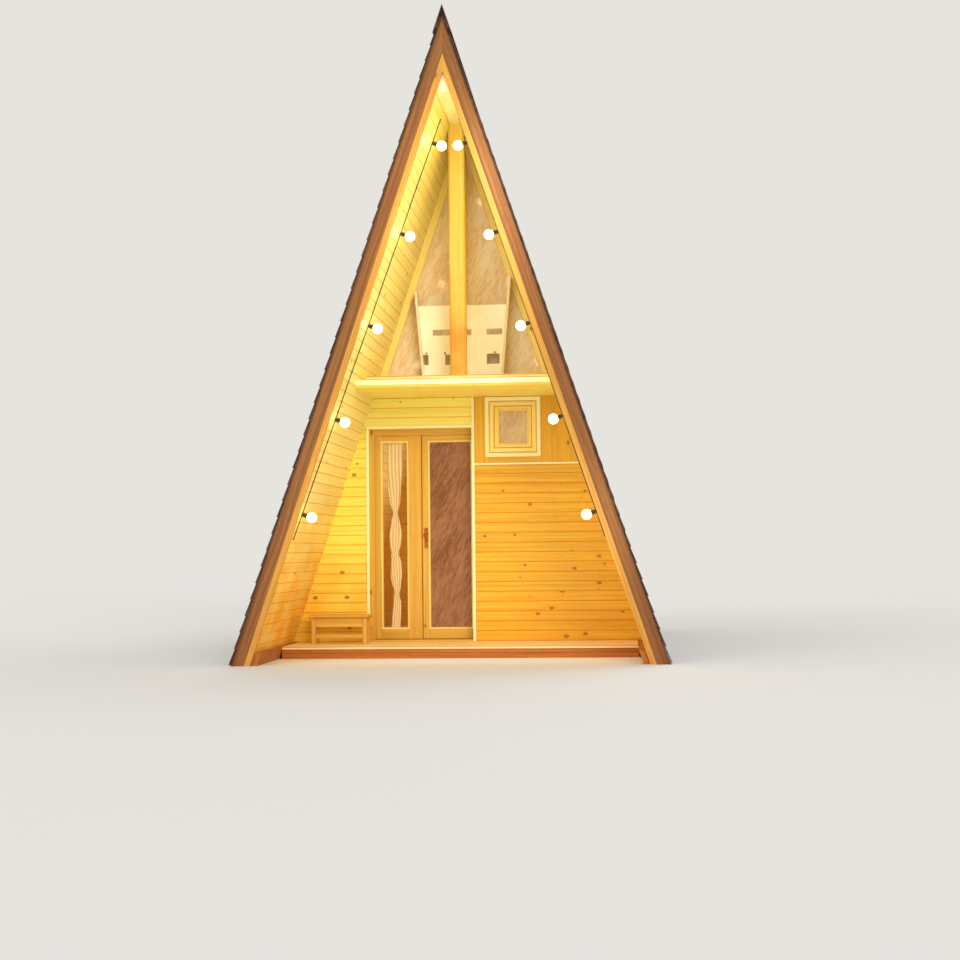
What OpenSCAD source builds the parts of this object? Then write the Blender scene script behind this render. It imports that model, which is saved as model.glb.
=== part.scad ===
// A-frame cabin of timber, front towards -Y, ground at Z = 0, millimetres

/* [Roof] */
// Height at which the outer roof lines meet
apex_h = 6050; // [5700:10:6400]
// Half the width over the roof at the ground
foot_half = 2030; // [1950:10:2150]
// Length of the roof from front to back
roof_len = 6500; // [6200:50:7200]
// Whole thickness of the roof, measured level
roof_band = 200; // [190:1:215]
// Thickness of the outer covering, measured level
cover_t = 30; // [20:1:40]
// Thickness of the pine lining, measured level
lining_t = 22; // [15:1:30]
// Width of the dark barge board, measured level
barge_w = 112; // [90:1:125]
// Thickness of the barge boards and inner trims
barge_t = 34; // [24:1:40]
// How far the covering runs past the barge boards
verge_lip = 12; // [5:1:25]
// Thickness of the ridge cap, measured level
cap_t = 12; // [8:1:20]
// How far the ridge cap reaches down each slope
cap_drop = 230; // [150:10:320]
// Width of the ridge beam's underside
beam_w = 120; // [90:1:150]
// Gap between the lining and the pieces scribed to it
fit_gap = 0.3; // [0.1:0.1:1]

/* [Base] */
// Height of the floor and the porch deck
floor_h = 120; // [105:1:140]
// Width of the base sills, measured level
sill_w = 60; // [45:1:80]
// How far the porch deck stands out in front of the wall
porch_out = 860; // [700:10:1000]
// Thickness of the deck boards
deck_t = 28; // [22:1:35]
// Thickness of the riser board
riser_t = 25; // [18:1:35]
// Width of each bearer under the deck
bearer_w = 50; // [40:1:70]
// Number of bearers under the deck
bearer_n = 4; // [3:1:6]
// How far the deck boards run past the riser
deck_nose = 15; // [8:1:25]

/* [Front wall] */
// Depth of the open porch from the roof's front edge to the wall
porch_depth = 1900; // [1700:10:2050]
// Thickness of the outer walls
wall_t = 120; // [100:1:140]
// Height of the wall's top, where the ledge sits on it
wall_top = 2616; // [2570:1:2660]
// Gap between the doorway's upper left corner and the lining
corner_gap = 62; // [50:1:80]
// Height of the doorway in the wall
doorway_top = 2300; // [2280:1:2330]
// Height of the joint between the boards and the window panel
panel_z = 1925; // [1880:1:1960]
// Width of the thin trims
trim_w = 30; // [20:1:36]
// Thickness of the thin trims
trim_t = 14; // [8:1:20]
// Height of the trim over the joint under the window
joint_trim_h = 20; // [14:1:26]

/* [Door] */
// Distance of the left leaf's edge from the doorway's edge
reveal = 26; // [16:1:40]
// Width of the left leaf
left_leaf_w = 495; // [460:5:520]
// Width of the right leaf
right_leaf_w = 570; // [540:5:600]
// How far the right leaf reaches behind the doorway's edge
leaf_lap = 30; // [20:1:40]
// Height of the leaves' lower edge
leaf_bottom = 140; // [132:1:160]
// Height of the leaves' upper edge
leaf_top = 2253; // [2225:1:2260]
// Thickness of a leaf
leaf_t = 44; // [38:1:54]
// Gap between the two leaves
meet_gap = 10; // [8:1:14]
// Gap between a leaf and its frame
leaf_gap = 6; // [5:1:8]
// Width of the left leaf's hinge stile
left_outer_stile = 85; // [70:1:100]
// Width of the left leaf's meeting stile
left_inner_stile = 148; // [110:1:160]
// Width of the right leaf's meeting stile
right_inner_stile = 74; // [64:1:90]
// Width of the right leaf's hinge stile
right_outer_stile = 62; // [50:1:80]
// Height of the top rails
top_rail = 84; // [70:1:110]
// Height of the bottom rails
bottom_rail = 110; // [90:1:140]
// Thickness of all glass
glass_t = 8; // [5:1:12]
// Depth of the stop that the leaves close on
stop_t = 25; // [18:1:32]
// How far the stop reaches in front of a leaf's edge
stop_lap = 12; // [8:1:18]
// Width of the frame beside the leaves
jamb_w = 75; // [60:1:90]
// Height of the door knob's plate
knob_z = 1175; // [1050:5:1250]
// Width of the knob's plate
knob_plate_w = 38; // [30:1:46]
// Height of the knob's plate
knob_plate_h = 210; // [180:5:240]
// Thickness of the knob's plate
knob_plate_t = 5; // [3:1:8]
// Radius of the door knob
knob_r = 25; // [20:1:29]
// Radius of the door knob's neck
knob_neck_r = 9; // [6:1:12]
// How far a door knob stands out
knob_out = 60; // [50:1:68]
// Rise of the door knob above its plate's middle
knob_rise = 30; // [10:1:50]
// Radius of a hinge knuckle
knuckle_r = 8; // [7:0.5:9]
// Height of each half of a hinge
knuckle_h = 45; // [36:1:60]
// Gap between the two halves of a hinge
knuckle_gap = 0.5; // [0.3:0.1:1]
// Distance of the outer hinges from the ends of a leaf
hinge_in = 220; // [150:5:300]
// Radius of a hinge pin
hinge_pin_r = 4; // [3:0.5:5]
// How far a hinge pin stands up from its half
hinge_pin_l = 27; // [20:1:32]
// Play between a hinge pin and its bore
pin_play = 0.1; // [0.05:0.01:0.2]
// Depth of the bore above the pin's end
bore_over = 4; // [2:1:6]
// Width of a hinge plate from the pin's axis
hinge_plate_w = 40; // [30:1:50]
// Thickness of a hinge plate
hinge_plate_t = 3; // [2:0.5:4]

/* [Door curtain] */
// Width of the gathered curtain
curtain_w = 150; // [110:1:170]
// Thickness of the gathered curtain
curtain_t = 24; // [16:1:30]
// Gap between the curtain and the leaf
curtain_gap = 3; // [1:1:6]
// How far the batten that carries the curtain stands out of the leaf
batten_out = 30; // [24:1:36]
// Height of the curtain's batten
batten_h = 24; // [16:1:32]

/* [Window] */
// Shift of the window from the middle of the wall beside the door
window_shift = -76; // [-90:1:-40]
// Height of the window's centre
window_z = 2303; // [2280:1:2306]
// Width of the window opening
window_w = 490; // [450:1:510]
// Height of the window opening
window_h = 536; // [480:1:540]
// Width of the trims round the windows
window_trim = 40; // [28:1:48]
// Width of the window frames' face
window_face = 50; // [40:1:60]
// Width of the sash's face inside the frame
sash_face = 54; // [40:1:60]
// Thickness of the sash
sash_t = 44; // [36:1:54]
// Depth of the sash behind the wall's face
sash_in = 22; // [12:1:32]

/* [Upper storey] */
// How far the ledge stands out in front of the wall
ledge_out = 1180; // [1000:10:1300]
// Thickness of the ledge
ledge_t = 66; // [50:1:80]
// Height of the fascia on the ledge's edge
fascia_h = 52; // [46:1:60]
// Rise of the fascia above the ledge
fascia_rise = 4; // [0:1:10]
// Thickness of the fascia
fascia_t = 22; // [16:1:30]
// How far the balcony deck stands out in front of the wall
deck_out = 765; // [700:5:860]
// Thickness of the balcony deck and the loft floor above the wall's top
loft_t = 150; // [130:1:170]
// Distance of the centre post's axis in front of the wall
post_out = 600; // [550:5:640]
// Width of the square centre post
post_w = 156; // [130:1:190]

/* [Guard] */
// Height of the guard panel
guard_h = 700; // [640:5:760]
// Width of the guard panel at its foot
guard_foot = 780; // [720:5:820]
// Width of the guard panel at its top
guard_top = 900; // [840:5:940]
// Thickness of the guard panel and its wings
guard_t = 26; // [18:1:34]
// Distance of the panel's front in front of the wall
guard_out = 180; // [120:5:230]
// How far the left wing rises above the panel
left_wing_rise = 150; // [100:5:200]
// How far the right wing rises above the panel
right_wing_rise = 290; // [220:5:330]
// Height of the foot rail that the guard stands on
foot_rail = 70; // [50:1:90]
// Height of the slots' lower edge on the panel
slot_z = 395; // [360:5:430]
// Height of a slot
slot_h = 60; // [50:1:70]
// Length of the two left slots
slot_l = 185; // [160:5:200]
// Length of the right slot
right_slot_l = 160; // [140:5:180]
// Distance of the left slot's left end from the panel's middle
left_slot_x = 305; // [290:5:320]
// Distance of the middle slot's right end from the panel's middle
middle_slot_x = 90; // [75:5:105]
// Distance of the right slot's and right hole's left ends from the panel's middle
right_slot_x = 245; // [230:5:260]
// Height of the square holes' lower edge on the panel
hole_z = 95; // [70:5:120]
// Width of a square hole
hole_w = 130; // [110:5:140]
// Height of a square hole
hole_h = 105; // [90:5:120]
// Distance of the middle hole's left end from the panel's middle
middle_hole_x = 180; // [165:5:195]
// Distance of the left notch's right end from the panel's middle
notch_x = 350; // [335:5:360]

/* [Gable glazing] */
// Width of the gable frame along the slopes, measured level
gable_face = 75; // [55:1:95]
// Depth of the gable frame
gable_d = 70; // [50:1:90]
// Height of the gable frame's bottom rail
gable_rail = 85; // [60:1:110]
// Width of the mullion
mullion_w = 60; // [45:1:80]

/* [Rear wall] */
// Distance of the rear wall from the roof's rear edge
rear_in = 300; // [200:10:450]
// Height of the lower rear window above the floor
rear_sill = 950; // [850:10:1050]
// Width of the lower rear window
rear_window_w = 900; // [700:10:1000]
// Height of the lower rear window
rear_window_h = 900; // [700:10:1000]
// Height of the upper rear window above the loft floor
rear_upper_sill = 700; // [600:10:800]
// Width and height of the upper rear window
rear_upper_w = 480; // [400:10:520]

/* [Lamps] */
// Number of lamps on each side
lamp_n = 5; // [3:1:6]
// Height of the lowest lamp
lamp_z0 = 1390; // [1250:10:1500]
// Drop from the ridge of the lining to the highest lamp
lamp_drop = 512; // [500:1:700]
// Radius of a globe
globe_r = 47; // [35:1:55]
// Length of a lamp holder
holder_l = 55; // [45:1:65]
// Radius of a lamp holder
holder_r = 20; // [16:1:26]
// How far the globe is sunk into its holder
globe_sink = 4; // [3:1:8]
// Distance of the lowest lamps behind the roof's front edge
lamp_in_low = 150; // [120:5:200]
// Distance of the highest lamps behind the roof's front edge
lamp_in_high = 620; // [400:10:750]
// Radius of the cable
cable_r = 5; // [3:0.5:7]
// How far the cable runs past the outer lamps, measured upright
cable_over = 60; // [40:5:80]

/* [Bench] */
// Gap between the seat's end and the lining
bench_gap = 147; // [20:1:160]
// Gap between the bench and the front wall
bench_back = 200; // [100:10:300]
// Length of the porch bench
bench_l = 600; // [500:10:640]
// Height of the porch bench
bench_h = 290; // [250:5:340]
// Depth of the porch bench
bench_d = 260; // [200:5:300]
// Thickness of the bench's seat board
seat_t = 32; // [24:1:40]
// Width of a bench leg
bench_leg = 42; // [32:1:50]
// How far the seat board runs past the legs
bench_nose = 20; // [10:1:30]
// Height of the board under the seat
apron_h = 90; // [70:5:110]
// Thickness of the board under the seat and of the foot rail
apron_t = 22; // [16:1:26]
// Height of the bench's foot rail
bench_rail_h = 40; // [30:1:50]
// Height of the foot rail's lower edge above the deck
bench_rail_z = 55; // [40:5:80]

/* [Hidden] */

// Half width of the cabin at a height, over the covering and between the linings
function outer_x(z) = (apex_h - z) * run;
function inner_x(z) = outer_x(z) - roof_band;
// Height at which the cabin has a half width, over the covering and between the linings
function outer_z(x) = apex_h - x / run;
function inner_z(x) = outer_z(roof_band + x);

// Level run of a roof line for each millimetre of rise, and the slope's angle from upright
run = foot_half / apex_h;
lean = atan(run);

// Main planes along Y
front_y = -roof_len / 2;
back_y = roof_len / 2;
barge_front = front_y + verge_lip;
barge_back = barge_front + barge_t;
rear_barge_front = back_y - verge_lip - barge_t;
wall_y = front_y + porch_depth;
wall_in = wall_y + wall_t;
rear_y = back_y - rear_in;
rear_in_y = rear_y - wall_t;

// Main levels
inner_apex = inner_z(0);
beam_z = inner_z(beam_w / 2);
deck_top = wall_top + loft_t;
ledge_top = wall_top + ledge_t;

// Doorway and leaves
doorway_left = corner_gap - inner_x(doorway_top);
leaf_left = doorway_left + reveal;
left_leaf_end = leaf_left + left_leaf_w;
right_leaf_start = left_leaf_end + meet_gap;
leaf_right = right_leaf_start + right_leaf_w;
doorway_right = leaf_right - leaf_lap;
leaf_y0 = wall_in + stop_t + leaf_gap;
leaf_y1 = leaf_y0 + leaf_t;
head_z = leaf_top + leaf_gap;
threshold_z = leaf_bottom - leaf_gap;

// Window
window_x = (doorway_right + inner_x(window_z)) / 2 + window_shift;
sash_w = window_w - 2 * window_face;
sash_h = window_h - 2 * window_face;
sash_y = wall_y + sash_in;

// Lamps
lamp_top = inner_apex - lamp_drop;
lamp_step = (lamp_top - lamp_z0) / (lamp_n - 1);
string_slant = atan((lamp_in_high - lamp_in_low) / (lamp_top - lamp_z0) * cos(lean));
function lamp_y(z) =
    front_y + lamp_in_low + (lamp_in_high - lamp_in_low) * (z - lamp_z0) / (lamp_top - lamp_z0);

iron = "#4a3524";
wood_light = "#dc9a45";
wood_mid = "#c98436";
wood_dark = "#5e3524";
white_paint = "#ece3cc";
glass_tint = "#2d3438";
cable_black = "#2b2b2b";
lamp_light = "#fff2c4";

// Carries an X-Z outline from one Y plane to another
module along_y(y0, y1) {
    translate([0, y1, 0])
        rotate([90, 0, 0])
            linear_extrude(y1 - y0)
                children();
}

// Places a piece on the right side, or mirrors it to the left
module on_side(side) {
    if (side < 0)
        mirror([1, 0, 0]) children();
    else
        children();
}

// Outline of a layer of the right slope, between two level depths from the outer line
module slope_layer(from, to) {
    polygon([
        [outer_x(0) - from, 0],
        [outer_x(0) - to, 0],
        [0, apex_h - to / run],
        [0, apex_h - from / run]
    ]);
}

// Outline that fills the room between the slopes from one height to another
module between_slopes(z0, z1, inset = fit_gap) {
    polygon([
        [inset - inner_x(z0), z0],
        [inner_x(z0) - inset, z0],
        [inner_x(z1) - inset, z1],
        [inset - inner_x(z1), z1]
    ]);
}

// Outline of a rectangle in X-Z
module rect(x0, x1, z0, z1) {
    polygon([[x0, z0], [x1, z0], [x1, z1], [x0, z1]]);
}

// Outline of a rectangle that is scribed to the linings
module scribed_rect(x0, x1, z0, z1) {
    intersection() {
        rect(x0, x1, z0, z1);
        between_slopes(z0, z1);
    }
}

// Outline of a rectangular frame about its middle, from its outer size and its face
module ring(w, h, face) {
    difference() {
        square([w, h], center = true);
        square([w - 2 * face, h - 2 * face], center = true);
    }
}

// Roof
module roof_cover(side) {
    color(wood_dark)
        on_side(side)
            along_y(front_y, back_y) slope_layer(0, cover_t);
}

module roof_panel(side) {
    color(wood_mid)
        on_side(side)
            along_y(barge_back, rear_barge_front) slope_layer(cover_t, roof_band - lining_t);
}

module roof_lining(side) {
    color(wood_light)
        on_side(side)
            along_y(barge_back, rear_barge_front) slope_layer(roof_band - lining_t, roof_band);
}

// Two cap boards that meet over the ridge
module ridge_cap() {
    color(wood_dark)
        for (side = [-1, 1])
            on_side(side)
                along_y(front_y, back_y)
                    intersection() {
                        slope_layer(-cap_t - fit_gap, -fit_gap);
                        rect(fit_gap / 2, foot_half, apex_h - cap_drop, outer_z(-cap_t - fit_gap));
                    }
}

module ridge_beam() {
    color(wood_light)
        along_y(barge_back, rear_barge_front)
            polygon([
                [fit_gap - beam_w / 2, beam_z],
                [beam_w / 2 - fit_gap, beam_z],
                [0, inner_z(fit_gap)]
            ]);
}

module front_barge(side) {
    color(wood_dark)
        on_side(side)
            along_y(barge_front, barge_back) slope_layer(cover_t, cover_t + barge_w);
}

module front_trim(side) {
    color(wood_light)
        on_side(side)
            along_y(barge_front, barge_back) slope_layer(cover_t + barge_w, roof_band);
}

module rear_barge() {
    color(wood_dark)
        for (side = [-1, 1])
            on_side(side)
                along_y(rear_barge_front, back_y - verge_lip) slope_layer(cover_t, roof_band);
}

// Base and floors
module base_sills() {
    color(wood_dark)
        for (side = [-1, 1])
            on_side(side)
                along_y(barge_back, rear_barge_front)
                    polygon([
                        [inner_x(0) - sill_w, 0],
                        [inner_x(0) - fit_gap, 0],
                        [inner_x(floor_h) - fit_gap, floor_h],
                        [inner_x(floor_h) - sill_w, floor_h]
                    ]);
}

module ground_floor() {
    color(wood_mid)
        along_y(wall_y, rear_y) between_slopes(0, floor_h, sill_w + fit_gap);
}

module porch_frame() {
    riser_y = wall_y - porch_out;
    under_deck = floor_h - deck_t;
    reach = inner_x(0) - sill_w - bearer_w;
    color(wood_dark) {
        along_y(riser_y, riser_y + riser_t) between_slopes(0, under_deck, sill_w + fit_gap);
        for (i = [0 : bearer_n - 1])
            translate([-reach + (2 * reach - bearer_w) * (i + 0.5) / bearer_n, riser_y, 0])
                cube([bearer_w, porch_out, under_deck]);
    }
}

module porch_deck() {
    color(wood_light)
        along_y(wall_y - porch_out - deck_nose, wall_y)
            between_slopes(floor_h - deck_t, floor_h, sill_w + fit_gap);
}

// Front wall
module front_wall_left() {
    color(wood_light)
        along_y(wall_y, wall_in) scribed_rect(-foot_half, doorway_left, floor_h, doorway_top);
}

module front_wall_over_door() {
    color(wood_light)
        along_y(wall_y, wall_in) scribed_rect(-foot_half, doorway_right, doorway_top, wall_top);
}

module front_wall_right() {
    color(wood_light)
        along_y(wall_y, wall_in) scribed_rect(doorway_right, foot_half, floor_h, panel_z);
}

module front_wall_window() {
    color(wood_mid)
        along_y(wall_y, wall_in)
            difference() {
                scribed_rect(doorway_right, foot_half, panel_z, wall_top);
                translate([window_x, window_z]) square([window_w, window_h], center = true);
            }
}

module wall_trim() {
    corner_x = doorway_right - trim_w / 3;
    color(wood_light)
        along_y(wall_y - trim_t, wall_y) {
            rect(doorway_left - trim_w, doorway_left, floor_h, doorway_top);
            rect(doorway_left - trim_w, corner_x, doorway_top, doorway_top + trim_w);
            rect(corner_x, corner_x + trim_w, floor_h, wall_top);
            scribed_rect(corner_x, foot_half, panel_z - joint_trim_h / 2, panel_z + joint_trim_h / 2);
        }
}

// Double door
module door_frame() {
    low_x = leaf_left - leaf_gap;
    high_x = leaf_right + leaf_gap;
    outer_top = head_z + jamb_w;
    color(wood_light) {
        along_y(wall_in, leaf_y1)
            difference() {
                scribed_rect(low_x - jamb_w, high_x + jamb_w, floor_h, outer_top);
                rect(low_x, high_x, threshold_z, head_z);
            }
        along_y(wall_in, wall_in + stop_t)
            difference() {
                scribed_rect(low_x - jamb_w, high_x + jamb_w, floor_h, outer_top);
                rect(leaf_left + stop_lap, leaf_right - stop_lap, threshold_z, leaf_top - stop_lap);
            }
        along_y(wall_y, wall_in) rect(doorway_left, doorway_right, floor_h, threshold_z);
    }
}

// Outline of a leaf's glazed opening, from the leaf's two edges and its two stiles
module leaf_pane(x0, x1, stile0, stile1) {
    rect(x0 + stile0, x1 - stile1, leaf_bottom + bottom_rail, leaf_top - top_rail);
}

module left_pane() {
    leaf_pane(leaf_left, left_leaf_end, left_outer_stile, left_inner_stile);
}

module right_pane() {
    leaf_pane(right_leaf_start, leaf_right, right_inner_stile, right_outer_stile);
}

// The left leaf carries the curtain's batten on the middle of its top rail
module left_door_leaf() {
    rail_z = leaf_top - top_rail / 2;
    color(wood_light) {
        along_y(leaf_y0, leaf_y1)
            difference() {
                rect(leaf_left, left_leaf_end, leaf_bottom, leaf_top);
                left_pane();
            }
        along_y(leaf_y1, leaf_y1 + batten_out)
            rect(leaf_left + left_outer_stile / 2, left_leaf_end - left_inner_stile / 2,
                 rail_z - batten_h / 2, rail_z + batten_h / 2);
    }
}

module right_door_leaf() {
    color(wood_light)
        along_y(leaf_y0, leaf_y1)
            difference() {
                rect(right_leaf_start, leaf_right, leaf_bottom, leaf_top);
                right_pane();
            }
}

// A sheet of glass in the middle of the leaves' thickness
module door_glass() {
    glass_y = leaf_y0 + (leaf_t - glass_t) / 2;
    color(glass_tint) along_y(glass_y, glass_y + glass_t) children();
}

module left_door_glass() {
    door_glass() left_pane();
}

module right_door_glass() {
    door_glass() right_pane();
}

// Lift-off hinges: the lower half stands on the frame, the upper half hangs on a leaf
function hinge_heights() =
    [leaf_bottom + hinge_in, (leaf_bottom + leaf_top) / 2, leaf_top - hinge_in];

// Places a hinge half at each height of the left side, or mirrored to the right side
module at_hinges(side) {
    x = side < 0 ? leaf_left - leaf_gap / 2 : leaf_right + leaf_gap / 2;
    for (z = hinge_heights())
        translate([x, leaf_y1 + knuckle_r, z])
            mirror([side < 0 ? 0 : 1, 0, 0])
                children();
}

module frame_hinge_half() {
    translate([0, 0, -knuckle_h]) cylinder(h = knuckle_h, r = knuckle_r, $fn = 32);
    cylinder(h = hinge_pin_l, r = hinge_pin_r, $fn = 32);
    translate([-hinge_plate_w, -knuckle_r, -knuckle_h])
        cube([hinge_plate_w, hinge_plate_t, knuckle_h]);
}

module leaf_hinge_half() {
    translate([0, 0, knuckle_gap])
        difference() {
            union() {
                cylinder(h = knuckle_h, r = knuckle_r, $fn = 32);
                translate([0, -knuckle_r, 0]) cube([hinge_plate_w, hinge_plate_t, knuckle_h]);
            }
            translate([0, 0, -bore_over])
                cylinder(h = hinge_pin_l + 2 * bore_over, r = hinge_pin_r + pin_play, $fn = 32);
        }
}

module door_hinges() {
    color(iron)
        for (side = [-1, 1])
            at_hinges(side) frame_hinge_half();
}

module left_door_ironwork() {
    color(iron) at_hinges(-1) leaf_hinge_half();
}

module right_door_ironwork() {
    color(iron) {
        at_hinges(1) leaf_hinge_half();
        door_knobs();
    }
}

// Knob and plate on both faces of the right leaf's meeting stile
module door_knobs() {
    for (face = [-1, 1])
        translate([right_leaf_start + right_inner_stile / 2, face < 0 ? leaf_y0 : leaf_y1, knob_z])
            mirror([0, face < 0 ? 1 : 0, 0]) {
                translate([-knob_plate_w / 2, 0, -knob_plate_h / 2])
                    cube([knob_plate_w, knob_plate_t, knob_plate_h]);
                translate([0, 0, knob_rise]) rotate([-90, 0, 0]) door_knob();
            }
}

// A turned knob on its neck, standing along Z
module door_knob() {
    rotate_extrude($fn = 40)
        polygon([
            [0, 0],
            [knob_neck_r, 0],
            [knob_neck_r, 0.45 * knob_out],
            [0.88 * knob_r, 0.6 * knob_out],
            [knob_r, 0.77 * knob_out],
            [0.8 * knob_r, 0.93 * knob_out],
            [0, knob_out]
        ]);
}

// The curtain hangs from the batten behind the left pane
module door_curtain() {
    mid_x = (leaf_left + left_outer_stile + left_leaf_end - left_inner_stile) / 2;
    hem_z = leaf_bottom + bottom_rail;
    top_z = leaf_top - top_rail / 2 - batten_h / 2;
    color(white_paint)
        along_y(leaf_y1 + curtain_gap, leaf_y1 + curtain_gap + curtain_t)
            rect(mid_x - curtain_w / 2, mid_x + curtain_w / 2, hem_z, top_z);
}

// Window
module window_frame() {
    color(wood_mid)
        translate([window_x, 0, window_z]) {
            along_y(wall_y - trim_t, wall_y)
                ring(window_w + 2 * window_trim, window_h + 2 * window_trim, window_trim);
            along_y(wall_y, wall_in) ring(window_w, window_h, window_face);
            along_y(sash_y, sash_y + sash_t) ring(sash_w, sash_h, sash_face);
        }
}

module window_glass() {
    glass_y = sash_y + (sash_t - glass_t) / 2;
    color(glass_tint)
        translate([window_x, 0, window_z])
            along_y(glass_y, glass_y + glass_t)
                square([sash_w - 2 * sash_face, sash_h - 2 * sash_face], center = true);
}

// Upper storey
module loft_floor() {
    color(wood_mid)
        along_y(wall_y, rear_in_y) between_slopes(wall_top, deck_top);
}

module ledge() {
    color(wood_mid)
        along_y(wall_y - ledge_out, wall_y) between_slopes(wall_top, ledge_top);
}

module ledge_fascia() {
    top_z = ledge_top + fascia_rise;
    color(wood_light)
        along_y(wall_y - ledge_out - fascia_t, wall_y - ledge_out)
            between_slopes(top_z - fascia_h, top_z);
}

module balcony_deck() {
    color(wood_light)
        along_y(wall_y - deck_out, wall_y) between_slopes(ledge_top, deck_top);
}

// The post's head is scribed to the linings under the ridge beam
module centre_post() {
    post_y = wall_y - post_out;
    color(wood_light)
        along_y(post_y - post_w / 2, post_y + post_w / 2)
            scribed_rect(-post_w / 2, post_w / 2, deck_top, beam_z);
}

// Guard with three slots, two square holes and a notch, standing on its foot rail
module guard_panel() {
    left_hole_x = -guard_top / 2;
    foot_x = guard_foot / 2 - fit_gap;
    top_x = guard_top / 2 - fit_gap;
    color(white_paint)
        translate([0, 0, deck_top + foot_rail])
            along_y(wall_y - guard_out, wall_y - guard_out + guard_t)
                difference() {
                    polygon([[-foot_x, 0], [foot_x, 0], [top_x, guard_h], [-top_x, guard_h]]);
                    translate([-left_slot_x, slot_z]) square([slot_l, slot_h]);
                    translate([middle_slot_x - slot_l, slot_z]) square([slot_l, slot_h]);
                    translate([right_slot_x, slot_z]) square([right_slot_l, slot_h]);
                    rect(left_hole_x, -notch_x, hole_z, hole_z + hole_h);
                    translate([-middle_hole_x, hole_z]) square([hole_w, hole_h]);
                    translate([right_slot_x, hole_z]) square([hole_w, hole_h]);
                }
}

// A wing stands at an end of the panel, splayed as its edge is, and rises above it
module guard_wing(side, rise) {
    splay = (guard_top - guard_foot) / 2 / guard_h;
    top_z = guard_h + rise;
    foot_x = guard_foot / 2;
    on_side(side)
        along_y(wall_y - guard_out - guard_t, wall_y)
            polygon([
                [foot_x, foot_rail],
                [foot_x + guard_t, foot_rail],
                [foot_x + guard_t + splay * top_z, foot_rail + top_z],
                [foot_x + splay * top_z, foot_rail + top_z]
            ]);
}

module guard_wings() {
    rail_x = guard_foot / 2 + guard_t;
    color(white_paint)
        translate([0, 0, deck_top]) {
            guard_wing(-1, left_wing_rise);
            guard_wing(1, right_wing_rise);
            along_y(wall_y - guard_out - guard_t, wall_y) rect(-rail_x, rail_x, 0, foot_rail);
        }
}

// Outline of the gable's panes between the frame and the mullion
module gable_panes() {
    difference() {
        between_slopes(deck_top + gable_rail, inner_z(gable_face + mullion_w / 2), gable_face);
        rect(-mullion_w / 2, mullion_w / 2, deck_top, beam_z);
    }
}

module gable_frame() {
    color(wood_light)
        along_y(wall_y, wall_y + gable_d)
            difference() {
                between_slopes(deck_top, beam_z);
                gable_panes();
            }
}

module gable_glass() {
    glass_y = wall_y + (gable_d - glass_t) / 2;
    color(glass_tint) along_y(glass_y, glass_y + glass_t) gable_panes();
}

// Middle height, width and height of each rear window
function rear_windows() = [
    [floor_h + rear_sill + rear_window_h / 2, rear_window_w, rear_window_h],
    [deck_top + rear_upper_sill + rear_upper_w / 2, rear_upper_w, rear_upper_w]
];

module rear_wall() {
    color(wood_light)
        along_y(rear_in_y, rear_y)
            difference() {
                between_slopes(floor_h, beam_z);
                for (w = rear_windows())
                    translate([0, w[0]]) square([w[1], w[2]], center = true);
            }
}

module rear_window_frame() {
    color(wood_mid)
        for (w = rear_windows())
            translate([0, 0, w[0]]) {
                along_y(rear_in_y, rear_y) ring(w[1], w[2], window_face);
                along_y(rear_y, rear_y + trim_t)
                    ring(w[1] + 2 * window_trim, w[2] + 2 * window_trim, window_trim);
            }
}

module rear_window_glass() {
    glass_y = rear_in_y + (wall_t - glass_t) / 2;
    color(glass_tint)
        for (w = rear_windows())
            translate([0, 0, w[0]])
                along_y(glass_y, glass_y + glass_t)
                    square([w[1] - 2 * window_face, w[2] - 2 * window_face], center = true);
}

// Lamps on both linings: puts a piece at a height of the string, its Z square into the porch
module on_lining(side, z) {
    on_side(side)
        translate([inner_x(z) - fit_gap, lamp_y(z), z])
            rotate([0, -90 - lean, 0])
                children();
}

module light_string() {
    low_z = lamp_z0 - cable_over;
    cable_l = (lamp_top - lamp_z0 + 2 * cable_over) / cos(lean) / cos(string_slant);
    color(cable_black)
        for (side = [-1, 1]) {
            on_lining(side, low_z)
                translate([0, 0, cable_r])
                    rotate([0, 90, string_slant])
                        cylinder(h = cable_l, r = cable_r, $fn = 16);
            for (i = [0 : lamp_n - 1])
                on_lining(side, lamp_z0 + i * lamp_step)
                    cylinder(h = holder_l, r = holder_r, $fn = 32);
        }
}

// A globe is flat where its holder takes it
module lamp_bulbs() {
    color(lamp_light)
        for (side = [-1, 1])
            for (i = [0 : lamp_n - 1])
                on_lining(side, lamp_z0 + i * lamp_step)
                    translate([0, 0, holder_l])
                        difference() {
                            translate([0, 0, globe_r - globe_sink]) sphere(r = globe_r, $fn = 48);
                            translate([0, 0, -2 * globe_sink])
                                cylinder(h = 2 * globe_sink, r = globe_r, $fn = 32);
                        }
}

// Bench on the porch, left of the door
module porch_bench() {
    leg_h = bench_h - seat_t;
    leg_end = bench_l - bench_nose - bench_leg;
    leg_back = bench_d - bench_nose - bench_leg;
    rail_l = bench_l - 2 * bench_nose;
    mid_y = bench_nose + (bench_leg - apron_t) / 2;
    color(wood_mid)
        translate([bench_gap - inner_x(floor_h + bench_h), wall_y - bench_back - bench_d, floor_h]) {
            translate([0, 0, leg_h]) cube([bench_l, bench_d, seat_t]);
            for (x = [bench_nose, leg_end])
                for (y = [bench_nose, leg_back])
                    translate([x, y, 0]) cube([bench_leg, bench_leg, leg_h]);
            translate([bench_nose, mid_y, leg_h - apron_h]) cube([rail_l, apron_t, apron_h]);
            translate([bench_nose, mid_y, bench_rail_z]) cube([rail_l, apron_t, bench_rail_h]);
        }
}

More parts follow.
